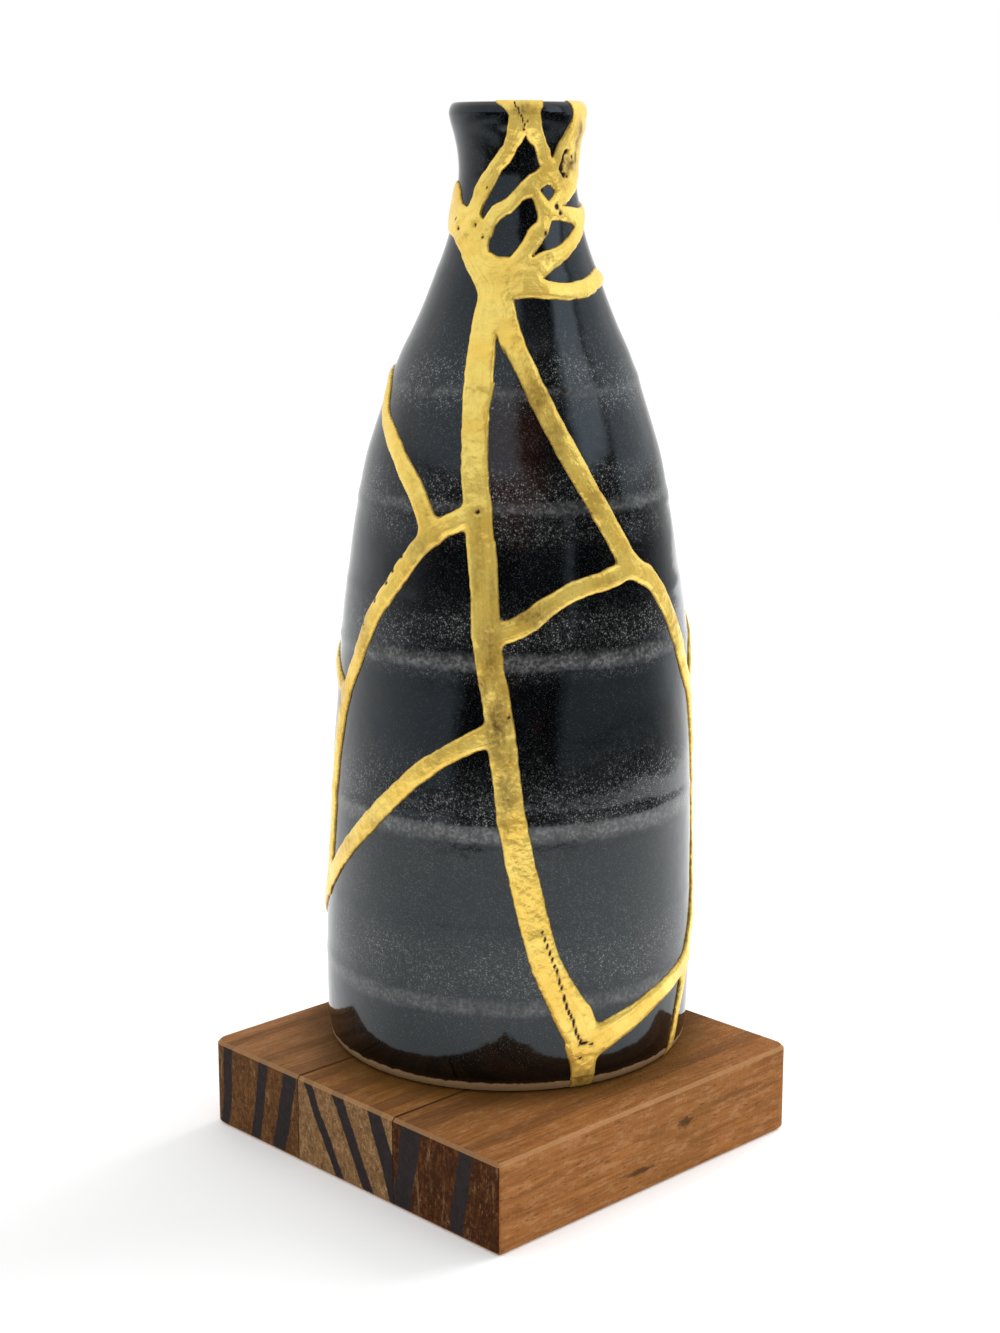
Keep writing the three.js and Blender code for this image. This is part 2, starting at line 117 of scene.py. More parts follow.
# Seams: stations of angle, height and gold width. A name stands for its junction.
SEAMS = [
    [("neckFork", 7.4), (3, OVER_LIP, 9)],
    [("neckFork", 4.2), (-8, 215.6, 4), (-25, 208.9, 4), ("neckLeft", 5)],
    [("neckFork", 4.2), (22, 216.8, 4), ("neckRight", 4.2)],
    [(62, OVER_LIP, 6.5), (57, 218.3, 4.4), ("neckRight", 4)],
    [("neckRight", 3.4), (15, 208.4, 3.4), (-10, 203.2, 3.4), ("neckLeft", 4.4)],
    [(8, 207.3, 3), ("lozengeTip", 3.4)],
    [("neckRight", 3.6), (48, 206.6, 3.6), ("lozengeTip", 3.6)],
    [("lozengeTip", 3.4), (55, 200.5, 3.4), ("lensTip", 3.6)],
    [("lozengeTip", 3.6), (16, 196.0, 3.6), ("collar", 6)],
    [("lensTip", 3.4), (52, 195.3, 3.6), (22, 191.0, 3.6), ("collar", 4.4)],
    [("collar", 4.6), (10, 185.2, 3.6), (50, 184.3, 3.4), (90, 186.0, 3.4), (150, 172.7, 3.6),
     ("backShoulderTurned", 3.8)],
    [("neckLeft", 6.4), (-32, 191.5, 7.4), ("collar", 7.6)],
    [("neckLeft", 5), (-80, 201.4, 4), (-130, 203.9, 3.4), ("backCollar", 3.4)],
    [("backCollar", 3.4), (-230, 204, 3.4), (-282, 200.1, 3.4)],
    [("backCollar", 4), (-184, OVER_LIP, 4)],
    [("backCollar", 3.8), (-186, 188, 3.4), ("backShoulder", 3.8)],
    [("collar", 8), ("shoulderFork", 8.6), (-16.6, 155.8, 6.6), ("flankFork", 6.6), (-9.9, 119.7, 6.6),
     ("bellyFork", 6.6), ("loopFork", 6.6), (-0.4, 67.7, 6.7), (4.4, 49.9, 7.0), (11.4, 30.5, 7.4),
     (17.0, 21.5, 8.4), (21.6, 15.0, 9.2), ("footFork", 7.8), (23.2, 3, 6.2), (23, UNDER_FOOT, 5)],
    [("shoulderFork", 6), (-6, 175, 6), (1, 170.2, 4.8), (7, 164.4, 5), (14.5, 156, 5.2),
     (21.6, 147.6, 5.4), (35.2, 131.4, 5.3),
     ("rightFork", 5.4), (52.6, 118.4, 5.2), (60, 111.2, 5), (66, 103, 4.8), (71.5, 95, 4.6),
     ("rightSide", 4.4)],
    [("rightSide", 4.4), (90, 58, 4.2), (84, 36, 4.2), ("rightLow", 4.6)],
    [("rightSide", 4.2), (92, 101.6, 4), (128, 110, 3.8), ("backBellyTurned", 4)],
    [("rightFork", 4.8), (32, 119.9, 4.6), (20, 118.0, 4.6), (10, 114.6, 4.8), (2, 110.6, 5),
     ("bellyFork", 5)],
    [("flankFork", 4.8), ("flankSplit", 5), (-40.4, 121.6, 4.9), (-47.4, 115, 4.9), (-54.2, 108, 4.7),
     (-59.2, 100.4, 4.6), ("leftFork", 4.6),
     (-75, 63.2, 4.6), ("leftLow", 4.6)],
    [("leftFork", 4.2), (-90, 95.5, 4), (-145, 104, 4), ("backBelly", 4)],
    [("flankSplit", 5.4), (-35.4, 137, 5), (-47.6, 145.4, 4.6), (-59, 150.8, 4.2), (-72.5, 156.2, 3.6),
     (-81, 162, 3.2), (-112, 164, 3.2), ("backShoulder", 3.8)],
    [("loopFork", 5.4), (-17, 82.2, 4.8), (-30, 75.4, 4.8), (-40, 68.1, 4.8), (-50, 60.8, 4.8),
     (-60, 53.6, 4.8),
     (-70, 46.2, 4.8), ("leftLow", 4.7)],
    [("leftLow", 4.2), (-95, 29.4, 4), (-118, 18, 4), (-125, 12, 4), (-125, UNDER_FOOT, 4)],
    [("footFork", 8.6), (27, 11.4, 8.2), (34, 13.3, 7.0), (50, 17.8, 5.4), ("rightLow", 4.8)],
    [("rightLow", 3.4), (65, 9, 2.8), (64, UNDER_FOOT, 2.8)],
    [("backShoulderTurned", 4), (170, 140, 4), ("backBellyTurned", 4)],
    [("backBellyTurned", 4), (166, 61, 4), (172, 13.5, 4), (172, UNDER_FOOT, 4)],
]

# Outline of the gold mass on the neck, before the windows are left open: angle, height
NECK_MASS = [
    (-21.3, 232), (-23.2, 216), (-48.4, 205.5), (-63.8, 206), (-82.2, 208.2), (-105, 206.5),
    (-120, 204.6),
    (-120, 201.8), (-105, 199.2), (-82.2, 196.4), (-72.5, 195.7), (-62.9, 195), (-54.2, 193.5),
    (-45.4, 191.3),
    (-38.7, 189.3), (-32.9, 187.4), (-29, 185.6), (-26.1, 184), (-25.1, 181), (-24.2, 177),
    (-21.3, 172), (-9.7, 172),
    (2.9, 174.8), (1, 177.3), (0, 178.8), (-1, 180.6), (-2.9, 182.2), (12.6, 182.2), (27.1, 181.6),
    (42.5, 181.9), (57.1, 182.5),
    (65.8, 183.5), (76.4, 185.1), (76.4, 207.5), (82, 208.2),
    (86, 209.8), (87, 212.5), (84.5, 215.5), (84, 218.5), (86.5, 221.5), (89, 224.5), (89, 232),
]

# Windows of bare glaze in that mass
NECK_WINDOWS = [
    [(-19.3, 232), (-19.3, 225.5), (-11.6, 224.1), (-7.7, 222.7), (-8.7, 220.8), (-11.6, 218),
     (-13.5, 216.3),
     (-19.3, 214.5), (-26.1, 212.5), (-33.8, 210.1), (-44.5, 206.5), (-45.4, 204.5), (-48.4, 202.9),
     (-51.3, 202.5),
     (-58, 203.1), (-62.9, 204.6), (-67.7, 206.2), (-77.4, 207.8), (-100, 210), (-100, 232)],
    [(6.8, 218.4), (10.6, 216.8), (15.5, 215.7), (17.4, 214), (19.3, 212.4), (22.2, 211.2),
     (15.5, 210.2), (10.6, 209.7),
     (5.8, 208.8), (-1.9, 206.6), (-8.7, 204.8), (-14.5, 203.8), (-23.2, 202.8), (-30, 199.9),
     (-31.9, 200.8),
     (-30.9, 202.6), (-28, 204.5), (-23.2, 206.3), (-19.3, 208.1), (-15.5, 209.9), (-8.7, 212),
     (-2.9, 214), (0, 215.5),
     (2.9, 216.6)],
    [(22.2, 232), (22.2, 225.4), (21.3, 224.6), (19.3, 223.3), (20.3, 221.8), (21.3, 220.1),
     (24.2, 218.1),
     (28, 216.5), (31.9, 215.3), (32.9, 214.3), (34.8, 213.6), (36.7, 214.8), (40.6, 216.8),
     (45.4, 218.4), (47.4, 219.9),
     (50.3, 221.4), (51.3, 222.9), (51.3, 224.2), (49.3, 225.6), (49.3, 232)],
    [(29, 207.2), (32.9, 207.1), (36.7, 205.8), (33.8, 204.9), (29, 203.9), (25.6, 205), (22.2, 206.2)],
    [(12.6, 204.3), (4.8, 203.7), (0, 202.3), (-4.8, 201), (-9.7, 200.4), (-13.5, 199.5),
     (-17.4, 198.2),
     (-20.3, 196.4), (-23.2, 195.1), (-23.2, 193.8), (-22.2, 192.5), (-19.3, 192.2), (-15.5, 191.4),
     (-11.6, 191.3),
     (-5.8, 191.4), (-2.9, 192.4), (1, 193.6), (4.8, 195.2), (8.7, 197.2), (12.6, 198.2), (16.4, 199.3),
     (17.4, 200.5), (16.4, 201.8), (14.5, 203.6)],
    [(30.9, 199.2), (37.7, 199.2), (46.4, 198.8), (53.2, 198.4), (56.1, 197.9), (50.3, 196.7),
     (44.5, 195.5), (36.7, 194),
     (29, 193.3), (22.2, 192.7), (15.5, 192.1), (11.6, 191.5), (15.5, 192.8), (21.3, 194.9),
     (25.1, 196.1), (28, 197.7),
     (30, 198.7)],
    [(43.5, 202.6), (54.2, 203.6), (61.9, 204.8), (69.6, 205.7), (76.4, 207.4), (78.3, 207.4),
     (78.3, 202.2),
     (67.7, 202.1), (56.1, 202.3)],
    [(17.4, 186.6), (21.3, 186), (29, 185.7), (37.7, 185.7), (47.4, 186), (56.1, 186.6),
     (66.7, 187.8), (78.3, 188.6),
     (78.3, 197.6), (74.5, 196.7), (67.7, 195.3), (57.1, 193.8), (47.4, 192.2), (38.7, 190.4),
     (33.8, 189.5),
     (27.1, 188.5), (21.3, 187.4)],
    [(-10.6, 174.3), (-8.7, 172.4), (-5.8, 169.8), (-1.9, 166.5), (1, 164), (-10, 164), (-10.3, 170)],
]
NECK_START = 160
NECK_FROM = -130
NECK_TO = 110
NECK_OVERLAP = 0.5

# A spot inside each sherd: angle from the front, height above the foot
SHERDS = {
    "sherd_neck_left": (-90, 214.5), "sherd_neck_front": (8, 213), "sherd_rim_wedge": (40, 220.1),
    "sherd_neck_right": (110, 213.4), "sherd_neck_lozenge": (31, 206.4),
    "sherd_neck_centre": (-10, 197.1), "sherd_neck_lens": (42, 197.1),
    "sherd_collar_right": (100, 193.7), "sherd_shoulder_left": (-80, 180.6),
    "sherd_shoulder_right": (90, 146.8), "sherd_belly_centre": (8, 137.7),
    "sherd_belly_right": (35, 67.7), "sherd_belly_left": (-35, 97.1),
    "sherd_flank_left": (-110, 131), "sherd_lower_left": (-30, 33.9), "sherd_foot_right": (42, 6.3),
    "sherd_back_left": (-130, 56.5), "sherd_back_right": (115, 56.5),
}

# Brown wear on the gold: angle, height, reach across, reach up, amount
WORN_PATCHES = [
    (-8, 104, 3.0, 9, 0.75), (-5, 88, 2.8, 9, 1.0), (-2, 72, 2.4, 9, 0.8), (9, 161, 3.5, 5, 0.75),
    (16, 152, 3.5, 6, 0.55), (4, 113, 8, 3.5, 0.8), (-12, 126, 1.6, 12, 0.5), (-2, 64, 1.2, 8, 0.5),
    (66, 218.6, 2.2, 4, 1.0), (57, 212.3, 3.4, 2.8, 1.0), (44, 209, 2.5, 2.5, 0.7), (23, 2, 4, 3, 0.7),
    (-34, 127, 5, 4, 0.45), (-14, 113, 1.4, 8, 0.4), (-10, 97, 2.8, 6, 0.7), (30, 139, 3.5, 8, 0.4),
    (-7, 118, 1.2, 6, 0.5), (-56, 104, 3, 9, 0.45), (-20, 81, 4, 4, 0.35), (-54, 206, 4, 3, 0.5),
    (4, 224, 3, 1.6, 0.8), (32, 119, 6, 2.5, 0.5), (8, 206, 5, 1.6, 0.35), (-2, 80, 3, 6, 0.6),
    (63, 107, 3, 12, 0.4), (-60, 55, 9, 5, 0.4), (-45, 62, 10, 3, 0.45), (-72, 88, 6, 12, 0.4),
]

# Cracks in the gold: stations of angle and height, half width, depth
CRACKS = [
    ([(9.2, 40), (11.4, 35), (12.6, 32.6)], 0.26, 0.10),
    ([(13.0, 31.6), (14.2, 29.8), (14.5, 27.6), (15.8, 25.4)], 0.34, 0.35),
    ([(16.0, 24.0), (17.4, 20.4), (19.3, 17.4), (20.2, 14.4), (21.9, 11.8)], 0.36, 0.35),
    ([(20.8, 11.2), (23, 11.6), (25.5, 11.0)], 0.30, 0.30),
    ([(20.5, 8.4), (22.5, 7.6)], 0.30, 0.12),
    ([(-3, 225.5), (-1.8, 224.5), (0.5, 224.2), (1.2, 223.0), (3.6, 222.4), (4.2, 221.3), (6.4, 220.6)],
     0.17, 0.20),
    ([(51, 215.0), (46, 213.9), (43.5, 212.0), (46, 210.0), (53, 209.2)], 0.34, 0.50),
    ([(65, 214.6), (67, 212.4)], 0.26, 0.40),
]

# Pits in the gold: angle, height, half width, depth
PITS = [
    (-12.6, 135.8, 0.62, 0.55), (-41, 124.5, 0.55, 0.35), (-44.5, 121, 0.55, 0.35),
    (-47, 118, 0.6, 0.4),
    (-52, 113.5, 0.55, 0.35), (-57, 107.5, 0.5, 0.3), (-63, 100, 0.55, 0.35), (-1.6, 90.2, 0.5, 0.35),
    (36, 202.3, 0.7, 0.5), (39, 200.9, 0.6, 0.45), (-28.5, 206.5, 0.36, 0.2), (-28, 195.4, 0.4, 0.25),
    (20, 193.6, 0.4, 0.3), (23, 196.4, 0.5, 0.3), (44.5, 211.0, 0.85, 0.7), (48.5, 209.5, 0.75, 0.6),
    (49, 214.7, 0.6, 0.5),
    (57, 213.6, 0.45, 0.4), (5, 219.9, 0.42, 0.4),
    (-56, 197.4, 0.5, 0.4), (-36, 198.2, 0.42, 0.35), (-61, 199.4, 0.45, 0.35), (8, 221.6, 0.3, 0.3),
]

# Lumps on the gold: angle, height, reach, rise
LUMPS = [
    (-45, 196.5, 1.4, 0.7), (-60, 199, 0.9, 0.4), (-38, 191.5, 2.4, 0.35), (-12, 187.5, 3.0, 0.25),
    (46, 212.4, 1.0, 0.45), (58, 212.6, 1.2, 0.5), (22, 197.3, 1.6, 0.3), (-13, 137.5, 1.2, 0.2),
    (-40, 199.4, 1.2, 0.45), (-31, 200.8, 1.4, 0.35), (-52, 194.6, 1.3, 0.4), (7, 220.2, 0.8, 0.4),
    (-24, 131.5, 1.5, 0.3), (-19, 133.6, 1.2, 0.28), (-28, 128.6, 1.4, 0.26), (-15, 116, 0.9, 0.3),
    (-8, 110.6, 1.1, 0.3), (26, 192.3, 1.6, 0.3), (-14, 189.6, 2.2, 0.35), (0, 187.0, 2.4, 0.25),
]

# Fineness of the meshes, in columns round the vase
SHERD_COLUMNS = 288
GOLD_COLUMNS = 464

# Reaches used where seams meet and meshes are cut, in millimetres
SEAM_BLEND = 1.6
FAR_AWAY = 60.0
CUT_MARGIN = 0.03
PAST_END = 2

random_table = np.random.RandomState(7).rand(32, 32, 32).astype(np.float32)


def smooth_curve(xs, ys, x):
    """Values at x of a smooth curve through the stations."""
    xs = np.asarray(xs, float)
    ys = np.asarray(ys, float)
    steps = np.diff(xs)
    rates = np.diff(ys) / steps
    slopes = np.empty(len(xs))
    slopes[1:-1] = (rates[:-1] * steps[1:] + rates[1:] * steps[:-1]) / (steps[:-1] + steps[1:])
    slopes[0] = rates[0]
    slopes[-1] = rates[-1]
    x = np.clip(x, xs[0], xs[-1])
    i = np.clip(np.searchsorted(xs, x) - 1, 0, len(steps) - 1)
    step = steps[i]
    t = (x - xs[i]) / step
    value = (1 + 2 * t) * (1 - t) ** 2 * ys[i] + t * (1 - t) ** 2 * step * slopes[i]
    return value + t * t * (3 - 2 * t) * ys[i + 1] + t * t * (t - 1) * step * slopes[i + 1]


def noise(points, size, shift=0.0):
    """Soft noise from -1 to 1 at points in millimetres, with lumps of about that size."""
    p = np.asarray(points, np.float32) / size + 11.3 + shift
    base = np.floor(p).astype(np.int64)
    part = p - base
    part = part * part * (3 - 2 * part)
    total = np.zeros(p.shape[:-1], np.float32)
    for corner in range(8):
        dx = corner & 1
        dy = (corner >> 1) & 1
        dz = corner >> 2
        wx = part[..., 0] if dx else 1 - part[..., 0]
        wy = part[..., 1] if dy else 1 - part[..., 1]
        wz = part[..., 2] if dz else 1 - part[..., 2]
        value = random_table[(base[..., 0] + dx) & 31, (base[..., 1] + dy) & 31, (base[..., 2] + dz) & 31]
        total += wx * wy * wz * value
    return total * 2 - 1


def soft_step(low, high, x):
    """Rises smoothly from 0 at low to 1 at high."""
    t = np.clip((x - low) / (high - low), 0, 1)
    return t * t * (3 - 2 * t)


def wall_radius(height):
    """Outer radius at a height above the foot, with the throwing ridges."""
    stations = np.array(PROFILE, float)
    radius = smooth_curve(stations[:, 0], stations[:, 1], height)
    for place, rise, half in RINGS:
        ridge = np.exp(-((height - place) / half) ** 2)
        hollow = np.exp(-((height - place) / (half * RING_HOLLOW_REACH)) ** 2)
        radius = radius + rise * (ridge - RING_HOLLOW * hollow)
    return radius


def build_path():
    """The section of the wall: outer points, inner points, lengths along it, heights."""
    floor = np.linspace(1.0, FOOT_FLAT, 42)
    bevel = np.linspace(0, math.pi / 2, 7)[1:-1]
    wall = np.linspace(FOOT_BEVEL, LIP_START, 500)
    lip = np.linspace(0, LIP_TURN, 24)[1:]
    foot_radius = wall_radius(np.array([FOOT_BEVEL]))[0]
    lip_radius = wall_radius(np.array([LIP_START]))[0]
    outer_r = np.concatenate([
        floor,
        FOOT_FLAT + (foot_radius - FOOT_FLAT) * np.sin(bevel),
        wall_radius(wall),
        lip_radius - LIP_HALF_WIDTH * (1 - np.cos(lip)),
    ])
    outer_z = np.concatenate([
        floor * 0,
        FOOT_BEVEL * (1 - np.cos(bevel)),
        wall,
        LIP_START + (VASE_HEIGHT - LIP_START) * np.sin(lip),
    ])
    thickness = np.interp(wall, WALL_STATIONS + [VASE_HEIGHT],
                          [FOOT_WALL, FOOT_WALL, NECK_WALL, LIP_WALL])
    corner_r = wall_radius(np.array([FLOOR_ROUND]))[0] - FOOT_WALL
    turn = np.clip(wall / FLOOR_ROUND, 0, 1) * math.pi / 2
    corner = wall < FLOOR_ROUND
    inner_wall_r = np.where(corner, FLOOR_FLAT + (corner_r - FLOOR_FLAT) * np.sin(turn),
                            wall_radius(wall) - thickness)
    inner_wall_z = np.where(corner, FLOOR_TOP + (FLOOR_ROUND - FLOOR_TOP) * (1 - np.cos(turn)),
                            wall - INNER_LIP_DROP * soft_step(200, LIP_START, wall))
    inner_r = np.concatenate([
        np.linspace(0.8, FLOOR_FLAT - 1, len(floor)),
        np.linspace(FLOOR_FLAT - 1, FLOOR_FLAT, len(bevel) + 2)[1:-1],
        inner_wall_r,
        np.linspace(inner_wall_r[-1], lip_radius - LIP_WALL - 0.05, len(lip) + 1)[1:],
    ])
    inner_z = np.concatenate([
        np.full(len(floor) + len(bevel), FLOOR_TOP),
        inner_wall_z,
        np.linspace(inner_wall_z[-1], inner_wall_z[-1] + INNER_LIP_RISE, len(lip) + 1)[1:],
    ])
    lengths = np.concatenate([[0], np.cumsum(np.hypot(np.diff(outer_r), np.diff(outer_z)))])
    wall_first = len(floor) + len(bevel)
    crest = int(np.argmax(outer_z))
    wall_part = slice(wall_first, crest)
    return outer_r, outer_z, inner_r, inner_z, lengths, outer_z[wall_part], lengths[wall_part]


outer_r, outer_z, inner_r, inner_z, path_lengths, wall_heights, wall_lengths = build_path()
PATH_END = path_lengths[-1]


def length_at(height):
    """Length along the section at a height of the outer wall."""
    if height > VASE_HEIGHT + 0.5:
        return PATH_END + PAST_END
    if height < 0:
        return 0.0
    return float(np.interp(height, wall_heights, wall_lengths))


def rows_with(steps):
    """Row lengths along the section: (up to this height, step) pairs, floor first."""
    rows = [0.0]
    for limit, step in steps:
        stop = PATH_END if limit is None else length_at(limit)
        count = max(1, round((stop - rows[-1]) / step))
        rows.extend(np.linspace(rows[-1], stop, count + 1)[1:])
    return np.array(rows)


def make_grid(rows, columns):
    """Places of all grid points on the outer and inner surface, with the outer normals."""
    grid = {"rows": rows, "columns": columns, "count": len(rows) * columns}
    turn = np.arange(columns) * 2 * math.pi / columns
    r_out = np.interp(rows, path_lengths, outer_r)
    z_out = np.interp(rows, path_lengths, outer_z)
    r_in = np.interp(rows, path_lengths, inner_r)
    z_in = np.interp(rows, path_lengths, inner_z)
    reach = 0.3
    ahead = np.interp(rows + reach, path_lengths, outer_r) - np.interp(rows - reach, path_lengths, outer_r)
    above = np.interp(rows + reach, path_lengths, outer_z) - np.interp(rows - reach, path_lengths, outer_z)
    size = np.hypot(ahead, above)
    grid["radius"] = r_out
    grid["height"] = z_out
    grid["turn"] = turn
    heading = turn + FRONT_HEADING
    cos = np.cos(heading)[None, :]
    sin = np.sin(heading)[None, :]

    def place(radius, height):
        lean = smooth_curve(*zip(*LEAN), height)
        x = VASE_X + radius * cos + lean * LEAN_X
        y = VASE_Y + radius * sin + lean * LEAN_Y
        z = VASE_BASE + height + 0 * x
        return np.stack([x, y, z], -1).reshape(-1, 3)

    normal_r = (above / size)[:, None]
    normal_z = (-ahead / size)[:, None]
    grid["normal"] = np.stack([normal_r * cos, normal_r * sin, normal_z + 0 * cos], -1).reshape(-1, 3)
    flat = np.stack([r_out[:, None] * cos, r_out[:, None] * sin, z_out[:, None] + 0 * cos], -1)
    wobble = WOBBLE_BROAD[0] * noise(flat, WOBBLE_BROAD[1])
    wobble = wobble + WOBBLE_FINE[0] * noise(flat, WOBBLE_FINE[1], 3.7)
    wobble = wobble * soft_step(0, 6, z_out)[:, None] * soft_step(PATH_END, PATH_END - 6, rows)[:, None]
    grid["flat"] = flat.reshape(-1, 3)
    grid["outer"] = place(r_out[:, None] + wobble - SKIN_BACK, z_out[:, None])
    grid["inner"] = place(r_in[:, None] + 0 * cos, z_in[:, None])
    grid["heights"] = np.repeat(z_out, columns)
    grid["turns"] = np.tile(turn, len(rows))
    grid["lengths"] = np.repeat(rows, columns)
    return grid


def seam_route(stations):
    """Points along a seam: angle in radians, length along the section, width."""
    points = []
    for station in stations:
        if isinstance(station[0], str):
            angle, height = JUNCTIONS[station[0]]
            width = station[1]
        else:
            angle, height, width = station
        points.append((math.radians(angle), length_at(height), width))
    points = np.array(points)
    if len(points) < 3 and points[:, 1].min() > 0 and points[:, 1].max() < PATH_END:
        return points
    radius = np.interp(points[:, 1], path_lengths, outer_r)
    chord = np.hypot(np.diff(points[:, 0]) * (radius[1:] + radius[:-1]) / 2, np.diff(points[:, 1]))
    along = np.concatenate([[0], np.cumsum(chord)])
    fine = np.unique(np.concatenate([along, np.linspace(0, along[-1], max(3, int(along[-1] / 2.5)))]))
    return np.stack([smooth_curve(along, points[:, k], fine) for k in range(3)], -1)


def outline_depth(outline, turns, rows, radius):
    """Depth in millimetres inside an outline of angle and height stations, negative outside."""
    points = [(math.radians(angle), length_at(height)) for angle, height in outline]
    x = turns[None, :] + 0 * rows[:, None]
    y = rows[:, None] + 0 * turns[None, :]
    wide = radius[:, None]
    nearest = np.full(x.shape, FAR_AWAY)
    inside = np.zeros(x.shape, bool)
    for (a0, s0), (a1, s1) in zip(points, points[1:] + points[:1]):
        px = (x - a0) * wide
        py = y - s0
        bx = (a1 - a0) * wide
        by = s1 - s0
        t = np.clip((px * bx + py * by) / np.maximum(bx * bx + by * by, 1e-9), 0, 1)
        nearest = np.minimum(nearest, np.hypot(px - t * bx, py - t * by))
        if s0 != s1:
            crosses = ((s0 > y) != (s1 > y)) & (x < a0 + (a1 - a0) * (y - s0) / (s1 - s0))
            inside ^= crosses
    return np.where(inside, nearest, -nearest)


def seam_fields(grid):
    """How far each grid point lies outside the gold, and outside the fill under it."""
    columns = grid["columns"]
    rows = grid["rows"]
    shape = (len(rows), columns)
    gold = np.full(shape, FAR_AWAY)
    fill = np.full(shape, FAR_AWAY)
    step = 2 * math.pi / columns
    for stations in SEAMS:
        route = seam_route(stations)
        one = np.full(shape, FAR_AWAY)
        for (a0, s0, w0), (a1, s1, w1) in zip(route[:-1], route[1:]):
            reach = max(w0, w1) / 2 + 5
            first = int(np.searchsorted(rows, min(s0, s1) - reach))
            last = int(np.searchsorted(rows, max(s0, s1) + reach))
            if last <= first:
                continue
            radius = grid["radius"][first:last]
            wide = min(math.pi * 0.98, reach / max(radius.min(), 1e-3))
            left = math.floor((min(a0, a1) - wide) / step)
            right = math.ceil((max(a0, a1) + wide) / step)
            right = min(right, left + columns - 1)
            places = np.arange(left, right + 1)
            index = places % columns
            x = (places * step - a0)[None, :] * radius[:, None]
            y = (rows[first:last] - s0)[:, None]
            bx = (a1 - a0) * radius[:, None]
            by = s1 - s0
            t = np.clip((x * bx + y * by) / np.maximum(bx * bx + by * by, 1e-9), 0, 1)
            distance = np.hypot(x - t * bx, y - t * by)
            width = w0 + (w1 - w0) * t
            block = np.ix_(np.arange(first, last), index)
            one[block] = np.minimum(one[block], distance - width / 2)
            core = np.minimum(FILL_HALF, width / 2 - FILL_COVER)
            fill[block] = np.minimum(fill[block], distance - core)
        blend = np.clip(0.5 + 0.5 * (gold - one) / SEAM_BLEND, 0, 1)
        gold = gold + (one - gold) * blend - SEAM_BLEND * blend * (1 - blend)
    first = int(np.searchsorted(rows, length_at(NECK_START)))
    left = math.floor(math.radians(NECK_FROM) / step)
    right = math.ceil(math.radians(NECK_TO) / step)
    places = np.arange(left, right)
    block = np.ix_(np.arange(first, len(rows)), places % columns)
    turns = places * step
    radius = grid["radius"][first:]
    mass = outline_depth(NECK_MASS, turns, rows[first:], radius)
    window = np.full(mass.shape, -FAR_AWAY)
    for outline in NECK_WINDOWS:
        window = np.maximum(window, outline_depth(outline, turns, rows[first:], radius))
    gold[block] = np.maximum(np.minimum(gold[block], -mass), window)
    fill[block] = np.maximum(np.minimum(fill[block], NECK_OVERLAP - mass), window + NECK_OVERLAP)
    return gold.ravel(), fill.ravel()


def clipped(field, grid):
    """The grid where the field is above zero: two grid points and a share for each point, and faces."""
    columns = grid["columns"]
    rows = len(grid["rows"])
    off_line = np.where(field < 0, -CUT_MARGIN, CUT_MARGIN)
    value = np.where(np.abs(field) < CUT_MARGIN, off_line, field)
    inside = value > 0
    i, j = np.meshgrid(np.arange(rows - 1), np.arange(columns), indexing="ij")
    a = (i * columns + j).ravel()
    b = (i * columns + (j + 1) % columns).ravel()
    c = b + columns
    d = a + columns
    amount = inside[a].astype(int) + inside[b] + inside[c] + inside[d]
    full = amount == 4
    quads = np.stack([a, b, c, d], -1)[full]
    mixed = (amount > 0) & ~full
    corners = np.concatenate([np.stack([a, b, c], -1)[mixed], np.stack([a, c, d], -1)[mixed]])
    within = inside[corners]
    number = within.sum(1)
    total = grid["count"]

    def crossing(p, q):
        low = np.minimum(p, q)
        high = np.maximum(p, q)
        return (low + 1) * total * 2 + high

    triangles = corners[number == 3]
    lone = corners[number == 1]
    turn = np.argmax(inside[lone], 1)
    lone = np.take_along_axis(lone, (turn[:, None] + np.arange(3)) % 3, 1)
    tips = np.stack([lone[:, 0], crossing(lone[:, 0], lone[:, 1]), crossing(lone[:, 0], lone[:, 2])], -1)
    pair = corners[number == 2]
    turn = np.argmin(inside[pair], 1)
    pair = np.take_along_axis(pair, (turn[:, None] + np.arange(3)) % 3, 1)
    bands = np.stack([crossing(pair[:, 0], pair[:, 1]), pair[:, 1], pair[:, 2],
                      crossing(pair[:, 0], pair[:, 2])], -1)
    quads = np.concatenate([quads, bands])
    triangles = np.concatenate([triangles, tips])
    keys, order = np.unique(np.concatenate([quads.ravel(), triangles.ravel()]), return_inverse=True)
    quads = order[:quads.size].reshape(-1, 4)
    triangles = order[quads.size:].reshape(-1, 3)
    crossed = keys >= total
    low = np.where(crossed, keys // (total * 2) - 1, keys)
    high = np.where(crossed, keys % (total * 2), keys)
    gap = value[low] - value[high]
    share = np.where(crossed, value[low] / np.where(crossed, gap, 1), 0)
    return low, high, share, quads, triangles


def edges_of(quads, triangles):
    """Directed border edges of a patch."""
    parts = [quads[:, [k, (k + 1) % 4]] for k in range(4)]
    parts += [triangles[:, [k, (k + 1) % 3]] for k in range(3)]
    edges = np.concatenate(parts)
    ordered = np.sort(edges, 1)
    key = ordered[:, 0] * (ordered.max() + 1) + ordered[:, 1]
    _, first, count = np.unique(key, return_index=True, return_counts=True)
    return edges[first[count == 1]]


